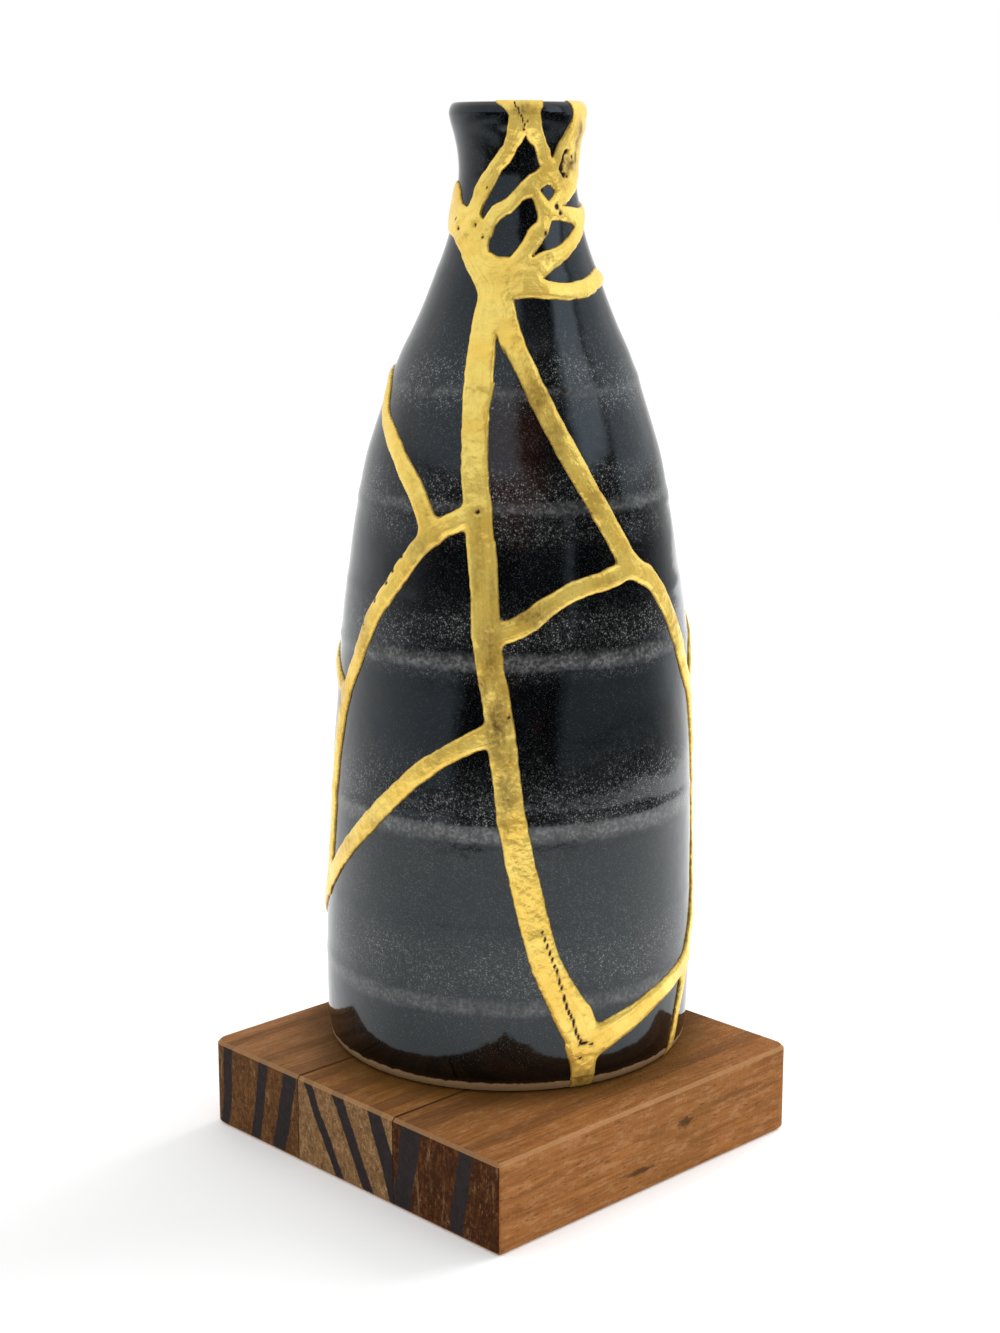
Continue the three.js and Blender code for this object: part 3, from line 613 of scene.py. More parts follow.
def make_mesh(name, points, quads, triangles, attributes=None, sharp=35):
    """A mesh object in metres from points in millimetres."""
    mesh = bpy.data.meshes.new(name)
    loops = np.concatenate([quads.ravel(), triangles.ravel()]).astype(np.int32)
    sizes = np.concatenate([np.full(len(quads), 4), np.full(len(triangles), 3)]).astype(np.int32)
    starts = np.concatenate([[0], np.cumsum(sizes)[:-1]]).astype(np.int32)
    mesh.vertices.add(len(points))
    mesh.vertices.foreach_set("co", (np.asarray(points) * MM).astype(np.float32).ravel())
    mesh.loops.add(len(loops))
    mesh.loops.foreach_set("vertex_index", loops)
    mesh.polygons.add(len(sizes))
    mesh.polygons.foreach_set("loop_start", starts)
    mesh.update(calc_edges=True)
    mesh.validate()
    for key, values in (attributes or {}).items():
        layer = mesh.attributes.new(key, "FLOAT", "POINT")
        layer.data.foreach_set("value", np.asarray(values, np.float32))
    mesh.polygons.foreach_set("use_smooth", np.ones(len(mesh.polygons), bool))
    mesh.set_sharp_from_angle(angle=math.radians(sharp))
    thing = bpy.data.objects.new(name, mesh)
    bpy.context.scene.collection.objects.link(thing)
    return thing


def close_shell(name, top, bottom, quads, triangles, attributes, pole=None):
    """A closed piece between an outer and an inner layer of the same patch."""
    count = len(top)
    border = edges_of(quads, triangles)
    walls = np.stack([border[:, 1], border[:, 0], border[:, 0] + count, border[:, 1] + count], -1)
    extra = []
    if pole is not None:
        at_pole = pole[border[:, 0]] & pole[border[:, 1]]
        walls = walls[~at_pole]
        extra = [top[pole].mean(0), bottom[pole].mean(0)]
        rim = border[at_pole]
        low_fan = np.stack([rim[:, 1], rim[:, 0], np.full(len(rim), 2 * count)], -1)
        high_fan = np.stack([rim[:, 0] + count, rim[:, 1] + count, np.full(len(rim), 2 * count + 1)], -1)
        triangles_all = [triangles, triangles[:, ::-1] + count, low_fan, high_fan]
    else:
        triangles_all = [triangles, triangles[:, ::-1] + count]
    points = np.concatenate([top, bottom] + ([np.array(extra)] if len(extra) else []))
    all_quads = np.concatenate([quads, quads[:, ::-1] + count, walls])
    values = {}
    for key, value in attributes.items():
        tail = np.zeros(len(points) - 2 * count)
        values[key] = np.concatenate([value, value, tail])
    return make_mesh(name, points, all_quads, np.concatenate(triangles_all), values)


def regions(fill, grid):
    """The number of the sherd at each grid point, or -1 in the fill between sherds."""
    columns = grid["columns"]
    rows = len(grid["rows"])
    open_at = fill > 0
    label = np.full(grid["count"], -1)
    for number, (angle, height) in enumerate(SHERDS.values()):
        row = int(np.argmin(np.abs(grid["rows"] - length_at(height))))
        column = int(round((math.radians(angle) % (2 * math.pi)) / (2 * math.pi) * columns)) % columns
        start = row * columns + column
        if label[start] != -1 or not open_at[start]:
            raise ValueError("sherd marker %d is not in free ground (%d)" % (number, label[start]))
        stack = [start]
        label[start] = number
        while stack:
            node = stack.pop()
            i, j = divmod(node, columns)
            for near in ((i, (j + 1) % columns), (i, (j - 1) % columns), (i + 1, j), (i - 1, j)):
                if 0 <= near[0] < rows:
                    other = near[0] * columns + near[1]
                    if open_at[other] and label[other] == -1:
                        label[other] = number
                        stack.append(other)
    return label


def between(values, low, high, share):
    """Values at the points of a clipped patch."""
    share = share if values.ndim == 1 else share[:, None]
    return values[low] * (1 - share) + values[high] * share


# The sherds
sherd_rows = rows_with([(1.4, 1.6), (60, 1.0), (160, 1.0), (184, 0.8), (LIP_START, 0.6), (None, 0.35)])
sherd_grid = make_grid(sherd_rows, SHERD_COLUMNS)
_, sherd_fill = seam_fields(sherd_grid)
sherd_label = regions(sherd_fill, sherd_grid)
sherd_objects = []
for number, name in enumerate(SHERDS):
    own = np.where(sherd_label == number, sherd_fill, np.where(sherd_fill > 0, -sherd_fill, sherd_fill))
    low, high, share, quads, triangles = clipped(own, sherd_grid)
    top = between(sherd_grid["outer"], low, high, share)
    bottom = between(sherd_grid["inner"], low, high, share)
    attributes = {"height": between(sherd_grid["heights"], low, high, share)}
    piece = close_shell("glaze_" + name[6:], top, bottom, quads, triangles, attributes)
    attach(piece, "root")
    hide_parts(name)
    sherd_objects.append(piece)

# The gold
gold_rows = rows_with([(1.4, 1.5), (LIP_START, 0.6), (None, 0.35)])
gold_grid = make_grid(gold_rows, GOLD_COLUMNS)
gold_field, gold_fill = seam_fields(gold_grid)
flat = gold_grid["flat"]
for lift, size, shift in GOLD_EDGE_WAVES:
    gold_field = gold_field + lift * noise(flat, size, shift)
low, high, share, quads, triangles = clipped(-gold_field, gold_grid)
depth = between(-gold_field, low, high, share)
depth[share > 0] = 0
depth = np.maximum(depth, 0)
spot = between(flat, low, high, share)
across = 1 - np.minimum(1, depth / GOLD_SHOULDER)
rise = GOLD_EDGE + GOLD_CROWN * np.sqrt(1 - across ** 2)
settle = soft_step(0.2, 1.6, depth)
waves = sum(lift * noise(spot, size, shift) for lift, size, shift in GOLD_FACE_WAVES)
rise = rise + settle * waves
lengths = between(gold_grid["lengths"], low, high, share)
rise = np.where(lengths < length_at(3), np.minimum(rise, GOLD_UNDER_FOOT), rise)
on_lip = soft_step(-3.5, -1.0, lengths - length_at(LIP_START - 0.1))
rise = rise * (1 - on_lip) + np.minimum(rise, GOLD_ON_LIP) * on_lip
turn = np.degrees(between(gold_grid["turns"], low, high, share))
turn = np.where(turn > 180, turn - 360, turn)
height = between(gold_grid["heights"], low, high, share)
radius = np.interp(lengths, path_lengths, outer_r)


def spread(angle, level, wide, tall):
    """1 at a place on the wall, falling off over those distances in millimetres."""
    side = np.radians(turn - angle) * radius / wide
    return np.exp(-side ** 2 - ((height - level) / tall) ** 2)


def near_line(stations):
    """Distance in millimetres from a line of angle and height stations."""
    best = np.full(len(turn), 99.0)
    for (a0, h0), (a1, h1) in zip(stations[:-1], stations[1:]):
        x = np.radians(turn - a0) * radius
        bx = np.radians(a1 - a0) * radius
        y = height - h0
        by = h1 - h0
        t = np.clip((x * bx + y * by) / (bx * bx + by * by), 0, 1)
        best = np.minimum(best, np.hypot(x - t * bx, y - t * by))
    return best


worn = np.zeros(len(turn))
for angle, level, wide, tall, amount in WORN_PATCHES:
    worn = np.maximum(worn, amount * spread(angle, level, wide, tall))
dark = np.zeros(len(turn))
for stations, half, sink in CRACKS:
    groove = np.exp(-(near_line(stations) / half) ** 2)
    dark = np.maximum(dark, groove)
    rise = rise - sink * groove
for angle, level, wide, sink in PITS:
    hollow = spread(angle, level, wide, wide)
    dark = np.maximum(dark, hollow)
    rise = rise - sink * hollow
for angle, level, wide, lift in LUMPS:
    rise = rise + lift * spread(angle, level, wide, wide)
normal = between(gold_grid["normal"], low, high, share)
surface = between(gold_grid["outer"], low, high, share)
top = surface + normal * rise[:, None]
deep = soft_step(0.05, 0.35, -between(gold_fill, low, high, share))[:, None]
inner = between(gold_grid["inner"], low, high, share)
bottom = (surface - normal * GOLD_BACK) * (1 - deep) + inner * deep
pole = lengths < 1e-6
attributes = {"depth": depth, "worn": worn, "dark": dark}
gold = close_shell("gold_network", top, bottom, quads, triangles, attributes, pole)
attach(gold, "root")
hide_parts("gold_seams")


class Shade:
    """Builds the nodes of one material."""

    def __init__(self, name):
        self.material = bpy.data.materials.new(name)
        self.material.use_nodes = True
        self.nodes = self.material.node_tree.nodes
        self.links = self.material.node_tree.links
        self.main = self.nodes["Principled BSDF"]
        scaled = self.put("ShaderNodeVectorMath", {1: (1000, 1000, 1000)}, operation="MULTIPLY")
        coordinates = self.nodes.new("ShaderNodeTexCoord")
        self.links.new(coordinates.outputs["Object"], scaled.inputs[0])
        self.place = scaled.outputs[0]
        parts = self.put("ShaderNodeSeparateXYZ", {0: self.place})
        self.x, self.y, self.z = parts.outputs

    def feed(self, socket, value):
        if isinstance(value, bpy.types.NodeSocket):
            self.links.new(value, socket)
        else:
            socket.default_value = value

    def put(self, kind, inputs=None, **settings):
        node = self.nodes.new(kind)
        for key, value in settings.items():
            setattr(node, key, value)
        for key, value in (inputs or {}).items():
            self.feed(node.inputs[key], value)
        return node

    def math(self, operation, a, b=0.0, c=0.0, clamp=False):
        node = self.put("ShaderNodeMath", {0: a, 1: b, 2: c}, operation=operation)
        node.use_clamp = clamp
        return node.outputs[0]

    def times(self, a, b, clamp=False):
        return self.math("MULTIPLY", a, b, clamp=clamp)

    def plus(self, a, b, clamp=False):
        return self.math("ADD", a, b, clamp=clamp)

    def minus(self, a, b):
        return self.math("SUBTRACT", a, b)

    def larger(self, a, b):
        return self.math("MAXIMUM", a, b)

    def absolute(self, a):
        return self.math("ABSOLUTE", a)

    def swing(self, noise, reach):
        """Noise from 0 to 1 turned into a swing about zero, that far in all."""
        return self.times(self.minus(noise, 0.5), reach)

    def vector(self, operation, a, b):
        return self.put("ShaderNodeVectorMath", {0: a, 1: b}, operation=operation).outputs[0]

    def length(self, a):
        return self.put("ShaderNodeVectorMath", {0: a}, operation="LENGTH").outputs["Value"]

    def stretched(self, sx, sy, sz):
        return self.vector("MULTIPLY", self.place, (sx, sy, sz))

    def noise(self, size, detail=2.0, rough=0.5, place=None, twist=0.0):
        """Noise from 0 to 1 with lumps of that size in millimetres."""
        node = self.put("ShaderNodeTexNoise", {"Vector": place or self.place, "Scale": 1 / size,
                                               "Detail": detail, "Roughness": rough, "Distortion": twist})
        return node.outputs["Fac"]

    def cells(self, size, place=None):
        node = self.put("ShaderNodeTexVoronoi", {"Vector": place or self.place, "Scale": 1 / size})
        return node.outputs["Distance"]

    def step(self, value, low, high):
        """Rises smoothly from 0 at low to 1 at high, or falls where low is above high."""
        node = self.put("ShaderNodeMapRange", {"Value": value}, interpolation_type="SMOOTHSTEP")
        if low < high:
            self.feed(node.inputs["From Min"], low)
            self.feed(node.inputs["From Max"], high)
        else:
            self.feed(node.inputs["From Min"], high)
            self.feed(node.inputs["From Max"], low)
            self.feed(node.inputs["To Min"], 1.0)
            self.feed(node.inputs["To Max"], 0.0)
        return node.outputs["Result"]

    def ramp(self, value, stops):
        node = self.put("ShaderNodeValToRGB", {0: value})
        elements = node.color_ramp.elements
        while len(elements) < len(stops):
            elements.new(0.5)
        for element, (place, colour) in zip(elements, stops):
            element.position = place
            element.color = colour if isinstance(colour, tuple) else (colour, colour, colour, 1)
        return node.outputs["Color"]

    def mix(self, factor, a, b, kind="MIX"):
        node = self.nodes.new("ShaderNodeMix")
        node.data_type = "RGBA"
        node.blend_type = kind
        self.feed(node.inputs[0], factor)
        self.feed(node.inputs[6], a)
        self.feed(node.inputs[7], b)
        return node.outputs[2]

    def paint(self, base, mask, amount, tone):
        """The base colour with a tone laid over it where the mask is."""
        return self.mix(self.times(mask, amount), base, tone)

    def attribute(self, name):
        return self.put("ShaderNodeAttribute", attribute_name=name).outputs["Fac"]

    def bump(self, height, strength, distance):
        node = self.put("ShaderNodeBump", {"Height": height, "Strength": strength, "Distance": distance})
        self.links.new(node.outputs[0], self.main.inputs["Normal"])

    def finish(self, colour, roughness, **constants):
        self.feed(self.main.inputs["Base Color"], colour)
        self.feed(self.main.inputs["Roughness"], roughness)
        for key, value in constants.items():
            self.main.inputs[key.replace("_", " ")].default_value = value
        return self.material


HAZE_SPAN = 226.0

# Pale haze where the throwing ridges thin the glaze: height above the foot, amount
HAZE = [(0, 0.0), (14, 0.0), (19, 0.18), (24, 0.45), (26, 0.8), (33, 0.7), (38, 0.3), (44, 0.2),
        (60, 0.25),
        (65, 0.9), (71, 0.8), (74, 0.6), (79, 0.25), (84, 0.04), (97, 0.04), (99, 0.4), (104, 0.5),
        (106.5, 0.8), (111, 0.75), (114, 0.2), (120, 0.04), (127, 0.1), (131, 0.6), (135, 0.5),
        (138, 0.95), (143, 0.8), (147, 0.12), (156, 0.2), (160, 0.9), (167, 0.85), (171, 0.25),
        (182, 0.08)]

# Thin pale lines on the ridges themselves: height above the foot, amount
PALE_LINES = [(18.6, 0), (20.3, 0.65), (22.6, 0.5), (23.8, 0), (59.8, 0), (61.4, 0.85), (63.8, 0.75),
              (65.2, 0), (99.8, 0), (101.2, 0.8), (103.4, 0.6), (104.6, 0), (134.6, 0), (136.0, 0.55),
              (137.4, 0.45), (138.5, 0), (159.8, 0), (161.0, 0.5), (162.4, 0.4), (163.6, 0)]

# Colours of the glaze and the clay, with a painted floor reflection and a painted lip highlight
GLAZE_DEEP = (0.0007, 0.0008, 0.0010, 1)
GLAZE_BLACK = (0.0022, 0.0027, 0.0031, 1)
GLAZE_FLOOR_REFLECTION = (0.0030, 0.0050, 0.0056, 1)
GLAZE_BROWN = (0.0200, 0.0045, 0.0022, 1)
GLAZE_HAZE = (0.205, 0.205, 0.200, 1)
GLAZE_SPARK = (0.105, 0.150, 0.165, 1)
GLAZE_RIM = (0.020, 0.008, 0.003, 1)
GLAZE_LIP_BROWN_AND_HIGHLIGHT = (0.050, 0.036, 0.026, 1)
CLAY_LIGHT = (0.36, 0.225, 0.105, 1)
CLAY_DARK = (0.20, 0.115, 0.050, 1)
BROWN_SPOT = (-15.3, -18.5, 171.0)
BROWN_SPOT_STRETCH = (1.0, 1.0, 0.42)


def glaze_material():
    s = Shade("charcoal_glaze")
    height = s.attribute("height")
    ripple = s.minus(s.noise(9.0, 2.0), 0.5)
    fringe = s.minus(s.noise(1.2, 4.0, 0.68, s.stretched(1, 1, 0.22)), 0.5)
    warped = s.plus(height, s.times(ripple, 3.2))
    warped = s.plus(warped, s.times(fringe, 5.0))
    stops = [(place / HAZE_SPAN, amount) for place, amount in HAZE]
    haze = s.ramp(s.math("DIVIDE", warped, HAZE_SPAN), stops)
    gentle = s.plus(height, s.times(ripple, 2.2))
    gentle = s.plus(gentle, s.times(fringe, 1.4))
    stops = [(place / HAZE_SPAN, amount) for place, amount in PALE_LINES]
    line = s.ramp(s.math("DIVIDE", gentle, HAZE_SPAN), stops)
    patch = s.step(s.noise(15.0, 2.0, 0.6), 0.35, 0.68)
    haze = s.times(haze, s.plus(s.times(patch, 0.75), 0.45))
    grain = s.step(s.cells(0.50), 0.46, 0.16)
    crumbs = s.step(s.noise(0.95, 2.0, 0.65), 0.42, 0.62)
    cover = s.times(haze, s.plus(s.times(grain, 1.0), 0.12))
    cover = s.times(cover, s.plus(s.times(crumbs, 0.9), 0.25), clamp=True)
    broken = s.step(s.noise(5.0, 3.0, 0.65), 0.30, 0.62)
    line = s.times(line, s.plus(s.times(crumbs, 0.48), 0.34))
    line = s.times(line, s.plus(s.times(broken, 0.55), 0.50))
    cover = s.larger(cover, line)
    sparks = s.step(s.cells(0.80), 0.20, 0.08)
    sparks = s.times(sparks, s.step(s.noise(1.4, 2.0, 0.6), 0.38, 0.52))
    dots = s.times(s.step(s.cells(0.46), 0.30, 0.10), s.step(s.noise(2.4, 3.0, 0.6), 0.34, 0.54))
    sparks = s.larger(sparks, s.times(dots, 0.75))
    lower_body = s.step(height, 80.0, 40.0)
    sparks = s.times(sparks, s.plus(s.times(lower_body, 0.36), 0.26))
    black = s.mix(s.step(s.noise(22.0, 2.0), 0.40, 0.70), GLAZE_DEEP, GLAZE_BLACK)
    # A bluer tint on the lower body, fading out near the foot and above 40 mm: painted reflection of the
    # pale floor
    low = s.times(lower_body, s.step(height, 4.0, 15.0))
    black = s.mix(low, black, GLAZE_FLOOR_REFLECTION)
    brown_spot = s.vector("SUBTRACT", s.place, BROWN_SPOT)
    brown_spot = s.vector("MULTIPLY", brown_spot, BROWN_SPOT_STRETCH)
    reach = s.length(brown_spot)
    reach = s.plus(reach, s.times(ripple, 9.0))
    brown = s.times(s.step(reach, 11.0, 4.0), 0.62)
    faint = s.times(s.step(s.noise(13.0, 3.0, 0.6, s.stretched(1, 1, 0.6)), 0.58, 0.72), 0.30)
    brown = s.larger(brown, faint)
    body = s.mix(brown, black, GLAZE_BROWN)
    body = s.mix(s.plus(cover, 0.0, clamp=True), body, GLAZE_HAZE)
    sparks = s.times(sparks, s.step(height, 2.0, 14.0))
    body = s.mix(sparks, body, GLAZE_SPARK)
    edge = s.plus(height, s.swing(s.noise(3.0, 3.0), 1.4))
    bare = s.step(edge, 2.45, 2.05)
    rim = s.times(s.step(edge, 3.5, 2.4), 0.6)
    body = s.mix(rim, body, GLAZE_RIM)
    clay = s.mix(s.noise(1.2, 4.0, 0.7), CLAY_LIGHT, CLAY_DARK)
    body = s.mix(bare, body, clay)
    # Brownish line along the top of the lip, lighter than the glaze as a painted highlight
    lip = s.times(s.step(s.plus(height, s.times(fringe, 0.8)), 224.6, 225.4), 0.75)
    body = s.mix(lip, body, GLAZE_LIP_BROWN_AND_HIGHLIGHT)
    rough = s.plus(0.085, s.times(cover, 0.34))
    rough = s.plus(rough, s.times(bare, 0.7), clamp=True)
    relief = s.plus(s.times(s.noise(4.5, 2.0), 0.8), s.times(cover, 0.20))
    relief = s.plus(relief, s.times(s.noise(14.0, 2.0), 1.6))
    s.bump(relief, 0.30, 0.00025)
    return s.finish(body, rough, IOR=1.52, Specular_Tint=(0.88, 0.95, 1.0, 1))


# Colours of the gold and of its wear, and of the painted shade at its edges, cracks and pits
GOLD_BRIGHT = (1.0, 0.735, 0.165, 1)
GOLD_DEEP = (0.92, 0.615, 0.108, 1)
GOLD_STREAK = (0.56, 0.350, 0.060, 1)
GOLD_GRAIN = (0.60, 0.38, 0.065, 1)
GOLD_EDGE_SHADE = (0.22, 0.110, 0.018, 1)
GOLD_DULL = (0.50, 0.300, 0.048, 1)
GOLD_SCUFF = (0.150, 0.074, 0.011, 1)
GOLD_SPECK = (0.30, 0.16, 0.030, 1)
GOLD_HOLLOW_SHADE = (0.33, 0.16, 0.026, 1)
GOLD_PIT_SHADE = (0.012, 0.006, 0.003, 1)


def gold_material():
    s = Shade("gold_lacquer_satin")
    depth = s.attribute("depth")
    worn = s.attribute("worn")
    dark = s.attribute("dark")
    along = s.stretched(0.10, 0.10, 0.10)
    brushed = s.put("ShaderNodeCombineXYZ", {0: s.times(depth, 1.7)}).outputs[0]
    brushed = s.vector("ADD", along, brushed)
    streak = s.noise(1.0, 3.0, 0.6, brushed)
    broad = s.noise(9.0, 3.0, 0.6)
    fine = s.noise(1.3, 4.0, 0.65)
    colour = s.mix(s.step(broad, 0.36, 0.64), GOLD_BRIGHT, GOLD_DEEP)
    colour = s.paint(colour, s.step(streak, 0.48, 0.68), 0.24, GOLD_STREAK)
    colour = s.paint(colour, s.step(fine, 0.50, 0.72), 0.18, GOLD_GRAIN)
    # Darker brown outline along the band's edges: painted shade where the raised gold turns down to the
    # glaze
    outline = s.plus(depth, s.swing(s.noise(2.0, 3.0), 0.5))
    edge = s.times(s.step(outline, 0.38, 0.02), 0.80)
    colour = s.mix(edge, colour, GOLD_EDGE_SHADE)
    scuff = s.plus(s.noise(3.2, 4.0, 0.7, s.stretched(1, 1, 0.45)), s.times(worn, 0.20))
    scuff = s.times(worn, s.step(scuff, 0.44, 0.66))
    scuff = s.times(scuff, s.plus(0.45, s.times(s.step(fine, 0.35, 0.62), 0.55)))
    colour = s.paint(colour, worn, 0.30, GOLD_DULL)
    colour = s.mix(s.times(scuff, 0.95, clamp=True), colour, GOLD_SCUFF)
    colour = s.paint(colour, s.step(s.noise(0.9, 2.0), 0.72, 0.80), 0.35, GOLD_SPECK)
    # Brown round the sunk cracks and pits and near-black in them: painted shade of the hollows, which are
    # also made rough and dull
    ragged = s.plus(dark, s.swing(s.noise(0.8, 3.0), 0.5))
    pit = s.step(ragged, 0.42, 0.62)
    colour = s.paint(colour, s.step(dark, 0.10, 0.50), 0.7, GOLD_HOLLOW_SHADE)
    colour = s.mix(pit, colour, GOLD_PIT_SHADE)
    rough = s.plus(0.22, s.times(fine, 0.14))
    rough = s.plus(rough, s.times(scuff, 0.16))
    rough = s.plus(rough, s.times(pit, 0.3), clamp=True)
    metal = s.minus(0.50, s.times(pit, 0.50))
    s.feed(s.main.inputs["Metallic"], metal)
    relief = s.plus(s.times(s.noise(5.0, 2.0, 0.5), 1.6), s.noise(2.2, 2.0, 0.5))
    relief = s.plus(relief, s.times(s.noise(0.8, 2.0, 0.5), 0.12))
    relief = s.plus(relief, s.times(streak, 0.30))
    s.bump(relief, 0.55, 0.00060)
    return s.finish(colour, rough)


# Dark growth bands through each stave: place across the block at its top, at its foot, half width
STAVE_BANDS = {
    "plinth_stave_front": [(-23.4, -19.6, 3.1), (-41.3, -38.4, 2.2)],
    "plinth_stave_middle": [(13.4, 1.6, 1.7), (3.0, -9.0, 1.9), (-10.4, -18.6, 2.6)],
    "plinth_stave_back": [(43.9, 46.2, 1.5), (30.2, 33.8, 1.8), (19.9, 24.6, 2.4)],
}
# Light and dark of each stave's end grain, and its colour along the grain
STAVE_TONES = {
    "plinth_stave_front": ((0.125, 0.045, 0.011, 1), (0.042, 0.011, 0.002, 1), (0.345, 0.140, 0.041, 1)),
    "plinth_stave_middle": ((0.345, 0.200, 0.092, 1), (0.180, 0.092, 0.034, 1), (0.370, 0.155, 0.038, 1)),
    "plinth_stave_back": ((0.190, 0.086, 0.027, 1), (0.092, 0.036, 0.010, 1), (0.440, 0.200, 0.072, 1)),
}
BLOCK_TOP = 21.8
# Reach from the vase's axis of the painted shadow and reflection of the vase on the block's top
VASE_SHADOW_END = 58.0
STAVE_JOINTS = [-16.95, 17.05]
# Knots and dark streaks on the long side: place in the frame, half length, half height
KNOTS = [(8.8, -51.9, 13.1, 2.6, 1.5), (-6.5, -51.9, 5.7, 5.5, 0.8)]
KNOT_DEPTH = 4

# Colours on the end grain and on the long faces, with the painted shade near the vase and the painted
# highlight on the edges
CHIP_DARK = (0.028, 0.011, 0.004, 1)
END_PALE = (0.42, 0.27, 0.130, 1)
PORE_DARK = (0.018, 0.007, 0.003, 1)
GLINT = (0.42, 0.25, 0.11, 1)
BAND_DARK = (0.012, 0.009, 0.010, 1)
BAND_LIGHT = (0.040, 0.030, 0.028, 1)
FACE_STREAK = (0.150, 0.062, 0.018, 1)
FACE_BLOTCH = (0.215, 0.095, 0.025, 1)
FACE_RUBBED = (0.47, 0.25, 0.115, 1)
FACE_MOTTLE = (0.130, 0.058, 0.018, 1)
FACE_FLECK = (0.055, 0.022, 0.008, 1)
FACE_BAND = (0.110, 0.045, 0.018, 1)
JOINT_DARK = (0.040, 0.016, 0.006, 1)
KNOT_DARK = (0.045, 0.020, 0.009, 1)
VASE_SHADOW_TONE = (0.085, 0.038, 0.004, 1)
EDGE_WORN_HIGHLIGHT = (0.42, 0.23, 0.105, 1)
FACE_DARKER = (0.66, 0.60, 0.55)


def wood_material(name):
    s = Shade("wood_" + name[7:])
    end_light, end_dark, face_tone = STAVE_TONES[name]
    normal = s.nodes.new("ShaderNodeNewGeometry")
    facing = s.put("ShaderNodeSeparateXYZ", {0: normal.outputs["Normal"]})
    end = s.step(s.absolute(facing.outputs[0]), 0.55, 0.80)
    sway = s.swing(s.noise(16.0, 2.0, 0.5, s.stretched(0.25, 1, 1)), 3.0)
    ragged = s.swing(s.noise(1.0, 3.0, 0.6, s.stretched(0.12, 1, 1)), 0.9)
    across = s.plus(s.plus(s.y, sway), ragged)
    upward = s.math("DIVIDE", s.z, BLOCK_TOP)
    bands = None
    for top, foot, half in STAVE_BANDS[name]:
        middle = s.math("MULTIPLY_ADD", upward, top - foot, foot)
        off = s.absolute(s.minus(across, middle))
        band = s.step(off, half + 0.25, half - 0.25)
        bands = band if bands is None else s.larger(bands, band)
    slope = (STAVE_BANDS[name][0][0] - STAVE_BANDS[name][0][1]) / BLOCK_TOP
    layer = s.minus(across, s.times(s.z, slope))
    lines = s.math("SINE", s.math("MULTIPLY_ADD", layer, 3.4, s.times(s.noise(7.0, 2.0), 9.0)))
    lines = s.step(lines, 0.2, 0.95)
    pores = s.step(s.cells(0.62), 0.34, 0.12)
    dust = s.noise(1.1, 4.0, 0.7)
    saw = s.noise(0.55, 3.0, 0.6, s.stretched(1.0, 1.0, 0.16))
    end_tone = s.mix(s.step(dust, 0.38, 0.62), end_dark, end_light)
    end_tone = s.paint(end_tone, lines, 0.40, end_dark)
    clouds = s.step(s.noise(4.5, 3.0, 0.6), 0.42, 0.62)
    end_tone = s.paint(end_tone, clouds, 0.45, end_dark)
    chips = s.step(s.noise(1.7, 5.0, 0.8, s.stretched(1.0, 1.0, 0.5), 0.6), 0.52, 0.62)
    end_tone = s.paint(end_tone, chips, 0.50, CHIP_DARK)
    pale = s.step(s.noise(2.6, 4.0, 0.7, s.stretched(1.0, 1.0, 0.25), 0.4), 0.56, 0.68)
    end_tone = s.paint(end_tone, pale, 0.30, END_PALE)
    end_tone = s.paint(end_tone, s.step(saw, 0.48, 0.62), 0.60, end_dark)
    end_tone = s.paint(end_tone, pores, 0.60, PORE_DARK)
    glints = s.times(s.step(s.noise(0.7, 2.0, 0.5, s.stretched(1.0, 1.0, 0.4)), 0.66, 0.76), 0.40)
    end_tone = s.mix(glints, end_tone, GLINT)
    band_tone = s.mix(s.noise(2.0, 4.0, 0.7), BAND_DARK, BAND_LIGHT)
    end_tone = s.mix(bands, end_tone, band_tone)
    fibre = s.noise(0.75, 4.0, 0.7, s.stretched(0.045, 1.0, 1.0))
    streak = s.noise(4.2, 3.0, 0.6, s.stretched(0.06, 1.0, 1.0), 0.5)
    blotch = s.noise(15.0, 3.0, 0.6, s.stretched(0.5, 1.0, 1.0))
    darker = tuple(tone * share for tone, share in zip(face_tone, FACE_DARKER)) + (1,)
    face = s.mix(s.step(fibre, 0.34, 0.70), face_tone, darker)
    face = s.paint(face, s.step(streak, 0.52, 0.70), 0.42, FACE_STREAK)
    face = s.paint(face, s.step(blotch, 0.42, 0.72), 0.40, FACE_BLOTCH)
    rubbed = s.step(s.noise(1.5, 5.0, 0.75, s.stretched(0.30, 1.0, 1.0)), 0.49, 0.62)
    face = s.paint(face, rubbed, 0.38, FACE_RUBBED)
    mottle = s.step(s.noise(3.2, 5.0, 0.75, s.stretched(0.22, 1.0, 1.0), 0.4), 0.50, 0.64)
    face = s.paint(face, mottle, 0.28, FACE_MOTTLE)
    flecks = s.step(s.noise(0.42, 2.0, 0.5, s.stretched(0.16, 1.0, 1.0)), 0.62, 0.72)
    face = s.paint(face, flecks, 0.55, FACE_FLECK)
    face = s.paint(face, bands, 0.42, FACE_BAND)
    for joint in STAVE_JOINTS:
        off = s.absolute(s.minus(s.y, joint))
        face = s.paint(face, s.step(off, 0.75, 0.2), 0.75, JOINT_DARK)
    for x, y, z, wide, tall in KNOTS:
        off = s.vector("SUBTRACT", s.place, (x, y, z))
        away = s.length(s.vector("MULTIPLY", off, (1 / wide, 1 / KNOT_DEPTH, 1 / tall)))
        away = s.plus(away, s.swing(s.noise(1.4, 3.0), 1.6))
        face = s.paint(face, s.step(away, 1.15, 0.45), 0.75, KNOT_DARK)
